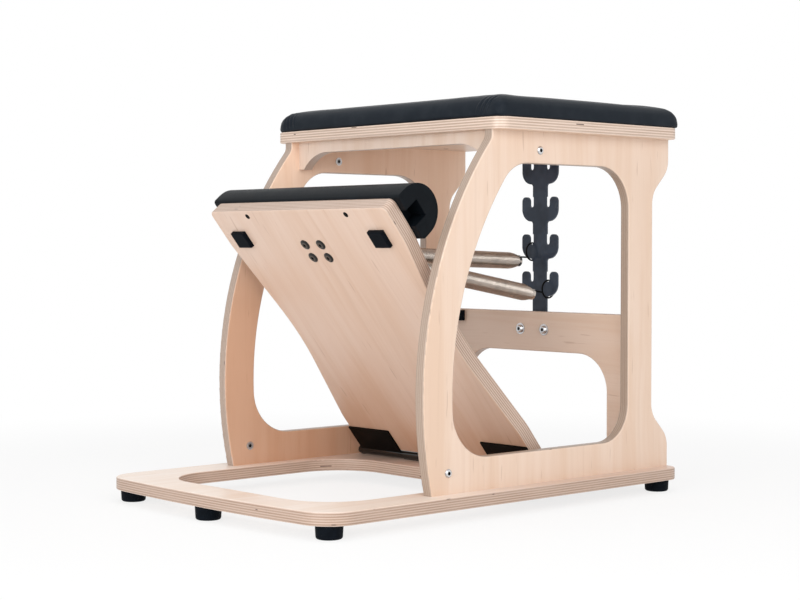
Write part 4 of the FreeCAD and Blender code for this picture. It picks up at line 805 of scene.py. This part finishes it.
def roll_cover(material):
    """The pedal's roll: vinyl over a D-shaped foam, with a square pocket sunk into each end."""
    section = roll_section(ROLL_SWELL)
    half = ROLL_HALF + ROLL_SPARE
    points = []
    for k in range(ROLL_STATIONS + 1):
        x = -half + 2 * half * k / ROLL_STATIONS
        points += [pedal_point(x, reach, rise) for reach, rise in section]
    faces = ring_faces(ROLL_STATIONS + 1, len(section))
    piece = new_piece("roll_cover", points, faces, material)
    face_outwards(piece)
    baked(piece, "REMESH", mode="VOXEL", voxel_size=ROLL_VOXEL)
    skin = ROLL_VOXEL * HELD_SHARE

    def held(co):
        rise = (co - HINGE).dot(PEDAL_NORMAL)
        return rise < ROLL_FLOOR + skin or abs(co.x) > half - skin

    settle(piece, held, ROLL_SWELL)
    baked(piece, "SUBSURF", levels=1)
    past_end = ROLL_HALF + 2 * ROLL_SPARE
    for side in (-1, 1):
        trim = sorted((side * ROLL_HALF, side * past_end))
        cut_box(piece, pedal_point, trim, ROLL_TRIM_REACH, ROLL_TRIM_RISE)
        pocket = sorted((side * (ROLL_HALF - ROLL_POCKET_DEPTH), side * past_end))
        cut_box(piece, pedal_point, pocket, ROLL_POCKET_REACH, ROLL_POCKET_RISE)
    cut_box(piece, pedal_point, (-BATTEN_HALF, BATTEN_HALF), BATTEN_REACH, BATTEN_RISE)
    cut_box(piece, pedal_point, (-BRACKET_HALF, BRACKET_HALF), BRACKET_REACH, BRACKET_RISE)
    smooth_faces(piece, SHARP_COVER)
    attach(piece, "pedal")
    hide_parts("pedal_roll")


# Springs: close-wound wire with a tapered rear end, stretching between its two plugs
SPRING_TURNS = 150
SPRING_WIRE = 1.3 * MM
SPRING_OUTER = 14.8 * MM
SPRING_FRONT = 14.0 * MM
SPRING_REAR = 10.0 * MM
SPRING_TAPER = 9.0
POINTS_PER_TURN = 16
WIRE_SIDES = 8
PLUG_HALF = 2.5 * MM


def plug_face(name, end, along):
    """The middle of the face that a plug turns to the coil."""
    low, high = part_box(name + end)
    return (low + high) / 2 + along * PLUG_HALF


def coil_radius(turn):
    """The coil's outer radius at a turn: rounded in to the rear, slightly slimmer at the front."""
    rear = 1 - math.sin(min(turn / SPRING_TAPER, 1.0) * math.pi / 2)
    front = max(1 - (SPRING_TURNS - turn) / SPRING_TAPER, 0.0)
    return SPRING_OUTER - (SPRING_OUTER - SPRING_REAR) * rear - (SPRING_OUTER - SPRING_FRONT) * front


def spring_wire(name, material):
    """Wind the wire round the line between the spring's plugs."""
    along = Vector(joint(name + "_stretch")["axis"])
    rear = plug_face(name, "_rear_plug", along)
    front = plug_face(name, "_front_plug", -along)
    length = (front - rear).length
    up = along.cross(AXIS_X).normalized()
    total = SPRING_TURNS * POINTS_PER_TURN
    points = []
    for i in range(total + 1):
        turn = i / POINTS_PER_TURN
        angle = turn * 2 * math.pi
        out = AXIS_X * math.cos(angle) + up * math.sin(angle)
        # the first and the last turn lie flat
        climb = min(max((turn - 1) / (SPRING_TURNS - 2), 0.0), 1.0)
        rise = SPRING_WIRE + (length - 2 * SPRING_WIRE) * climb
        centre = rear + along * rise + out * (coil_radius(turn) - SPRING_WIRE)
        for k in range(WIRE_SIDES):
            a = 2 * math.pi * k / WIRE_SIDES
            points.append(centre + out * (SPRING_WIRE * math.cos(a))
                          + along * (SPRING_WIRE * math.sin(a)))
    piece = new_piece(name + "_coil", points, ring_faces(total + 1, WIRE_SIDES), material)
    smooth_faces(piece, SHARP_WIRE)
    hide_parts(name + "_spring")
    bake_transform(piece)


# Studio: each lamp's place, what it points at, its size and its power
WHITE = (1.0, 1.0, 1.0)
WORLD_FILL = 0.60
FLOOR_SIZE = 14.0
FLOOR_SHADE = (0.92, 0.92, 0.92)
FLOOR_ROUGH = 0.9
FLOOR_NEAR = 0.78
FLOOR_FADE = (0.75, 1.60)
LAMPS = (
    ("key", (2.6, -1.0, 1.5), (0.0, 0.0, 0.3), 2.2, 36.0),
    ("front", (0.9, -3.0, 0.60), (0.0, 0.0, 0.4), 2.0, 47.0),
    ("top", (0.0, -0.2, 3.4), (0.0, -0.1, 0.0), 2.6, 18.0),
)


def studio():
    """White floor and world, broad soft lamps and the camera."""
    scene = bpy.context.scene
    scene.view_settings.view_transform = "Standard"
    scene.world = bpy.data.worlds.new("studio")
    sky = Graph(scene.world, "BACKGROUND")
    sky.set(Color=WHITE, Strength=WORLD_FILL + sky.seen() * (1.0 - WORLD_FILL))

    bpy.ops.mesh.primitive_plane_add(size=FLOOR_SIZE)
    floor = bpy.context.object
    floor.name = "studio_floor"
    g = finish("studio_floor")
    g.set(Base_Color=FLOOR_SHADE, Roughness=FLOOR_ROUGH, Specular_IOR_Level=0.0)
    white = FLOOR_NEAR + g.reach(g.place()).step(*FLOOR_FADE) * (1.0 - FLOOR_NEAR)
    glow = g.node("ShaderNodeEmission", {}, {"Color": WHITE, "Strength": 1.0})
    shaders = {0: g.seen() * white, 1: Sock(g, g.main.outputs[0]), 2: glow}
    blend = g.node("ShaderNodeMixShader", {}, shaders)
    output = next(n for n in g.tree.nodes if n.type == "OUTPUT_MATERIAL")
    g.feed(output.inputs["Surface"], blend)
    floor.data.materials.append(g.owner)

    for name, place, target, size, power in LAMPS:
        light = bpy.data.lights.new(name, "AREA")
        light.shape = "DISK"
        light.size = size
        light.energy = power
        holder = bpy.data.objects.new(name, light)
        holder.location = place
        aim = Vector(target) - Vector(place)
        holder.rotation_euler = aim.to_track_quat("-Z", "Y").to_euler()
        scene.collection.objects.link(holder)

    lens = bpy.data.cameras.new("camera")
    lens.sensor_fit = "HORIZONTAL"
    lens.sensor_width = SENSOR_WIDTH
    lens.lens = CAMERA_LENS
    eye = bpy.data.objects.new("camera", lens)
    eye.location = CAMERA_PLACE
    eye.rotation_euler = (math.pi / 2 - CAMERA_PITCH, 0.0, CAMERA_TURN)
    scene.collection.objects.link(eye)
    scene.camera = eye


dress_boards()
black_vinyl = vinyl("black_vinyl", (0.0092, 0.0131, 0.0188), (0.0150, 0.0195, 0.0256))
# painted shade: the seat's black vinyl made darker for the roll, a shaded copy of the same cover
shaded_roll_vinyl = vinyl("shaded_roll_vinyl", (0.0030, 0.0046, 0.0066), (0.0060, 0.0084, 0.0112))
black_rubber = rubber("black_rubber")
post_black = coated_steel("post_black_steel", 0.20, (0.0270, 0.0380, 0.0580), 0.22)
ring_black = coated_steel("ring_black_wire", 0.34, (0.0014, 0.0016, 0.0020), 0.08)
hinge_black = coated_steel("hinge_black_steel", 0.34, (0.0014, 0.0012, 0.0011), 0.05)
shine_barrel(hinge_black)
zinc = bright_steel("zinc_steel", (0.62, 0.62, 0.63), 0.22)
nickel = bright_steel("nickel_wire", (0.55, 0.495, 0.445), 0.16)
# matt black with no sheen: the screws' black finish and painted shade in the holes they sit in
screw_black = coated_steel("screw_black_with_hole_shade", 0.6, (0.0020, 0.0018, 0.0016), 0.0)
dress(black_rubber, "foot_front_left", "foot_front_middle", "foot_front_right", "foot_rear_left",
      "foot_rear_right", "pedal_bumper_left", "pedal_bumper_right", "stop_bumper")
dress(post_black, "spring_post")
dress(ring_black, "upper_ring_hook", "lower_ring_hook", "upper_pedal_hook", "lower_pedal_hook")
dress(hinge_black, "hinge_plate", "hinge_leaf_left", "hinge_leaf_right", "hinge_plate_screws",
      "hinge_leaf_screws", "pedal_bracket", "roll_screws", "hinge_pin")
dress(screw_black, "seat_pad_screws")
dress(zinc, "frame_screws", "seat_screws", "foot_screws", "post_washers", "post_nuts",
      "post_screws", "bracket_rod")
dress(nickel, "upper_rear_plug", "lower_rear_plug", "upper_front_plug", "lower_front_plug",
      "upper_spring", "lower_spring")
for side in ("left", "right"):
    bolt_steel("panel_bolts_" + side, AXIS_Y, AXIS_Z,
               zinc_rings(5.2 * MM, ZINC_BRIGHT, ZINC_RIM), 1.0, 0.16)
    bolt_steel("panel_nuts_" + side, AXIS_Y, AXIS_Z,
               zinc_rings(5.4 * MM, ZINC_RIM, ZINC_BRIGHT), 1.0, 0.20)
bolt_steel("post_bolts", AXIS_X, AXIS_Z, zinc_rings(5.0 * MM, ZINC_RIM, ZINC_BRIGHT), 1.0, 0.18)
bolt_steel("bracket_bolts", AXIS_X, PEDAL_ALONG, DARK_BOLT, 0.4, 0.34)

seat_cushion(black_vinyl)
roll_cover(shaded_roll_vinyl)
for spring in ("upper", "lower"):
    spring_wire(spring, nickel)
studio()
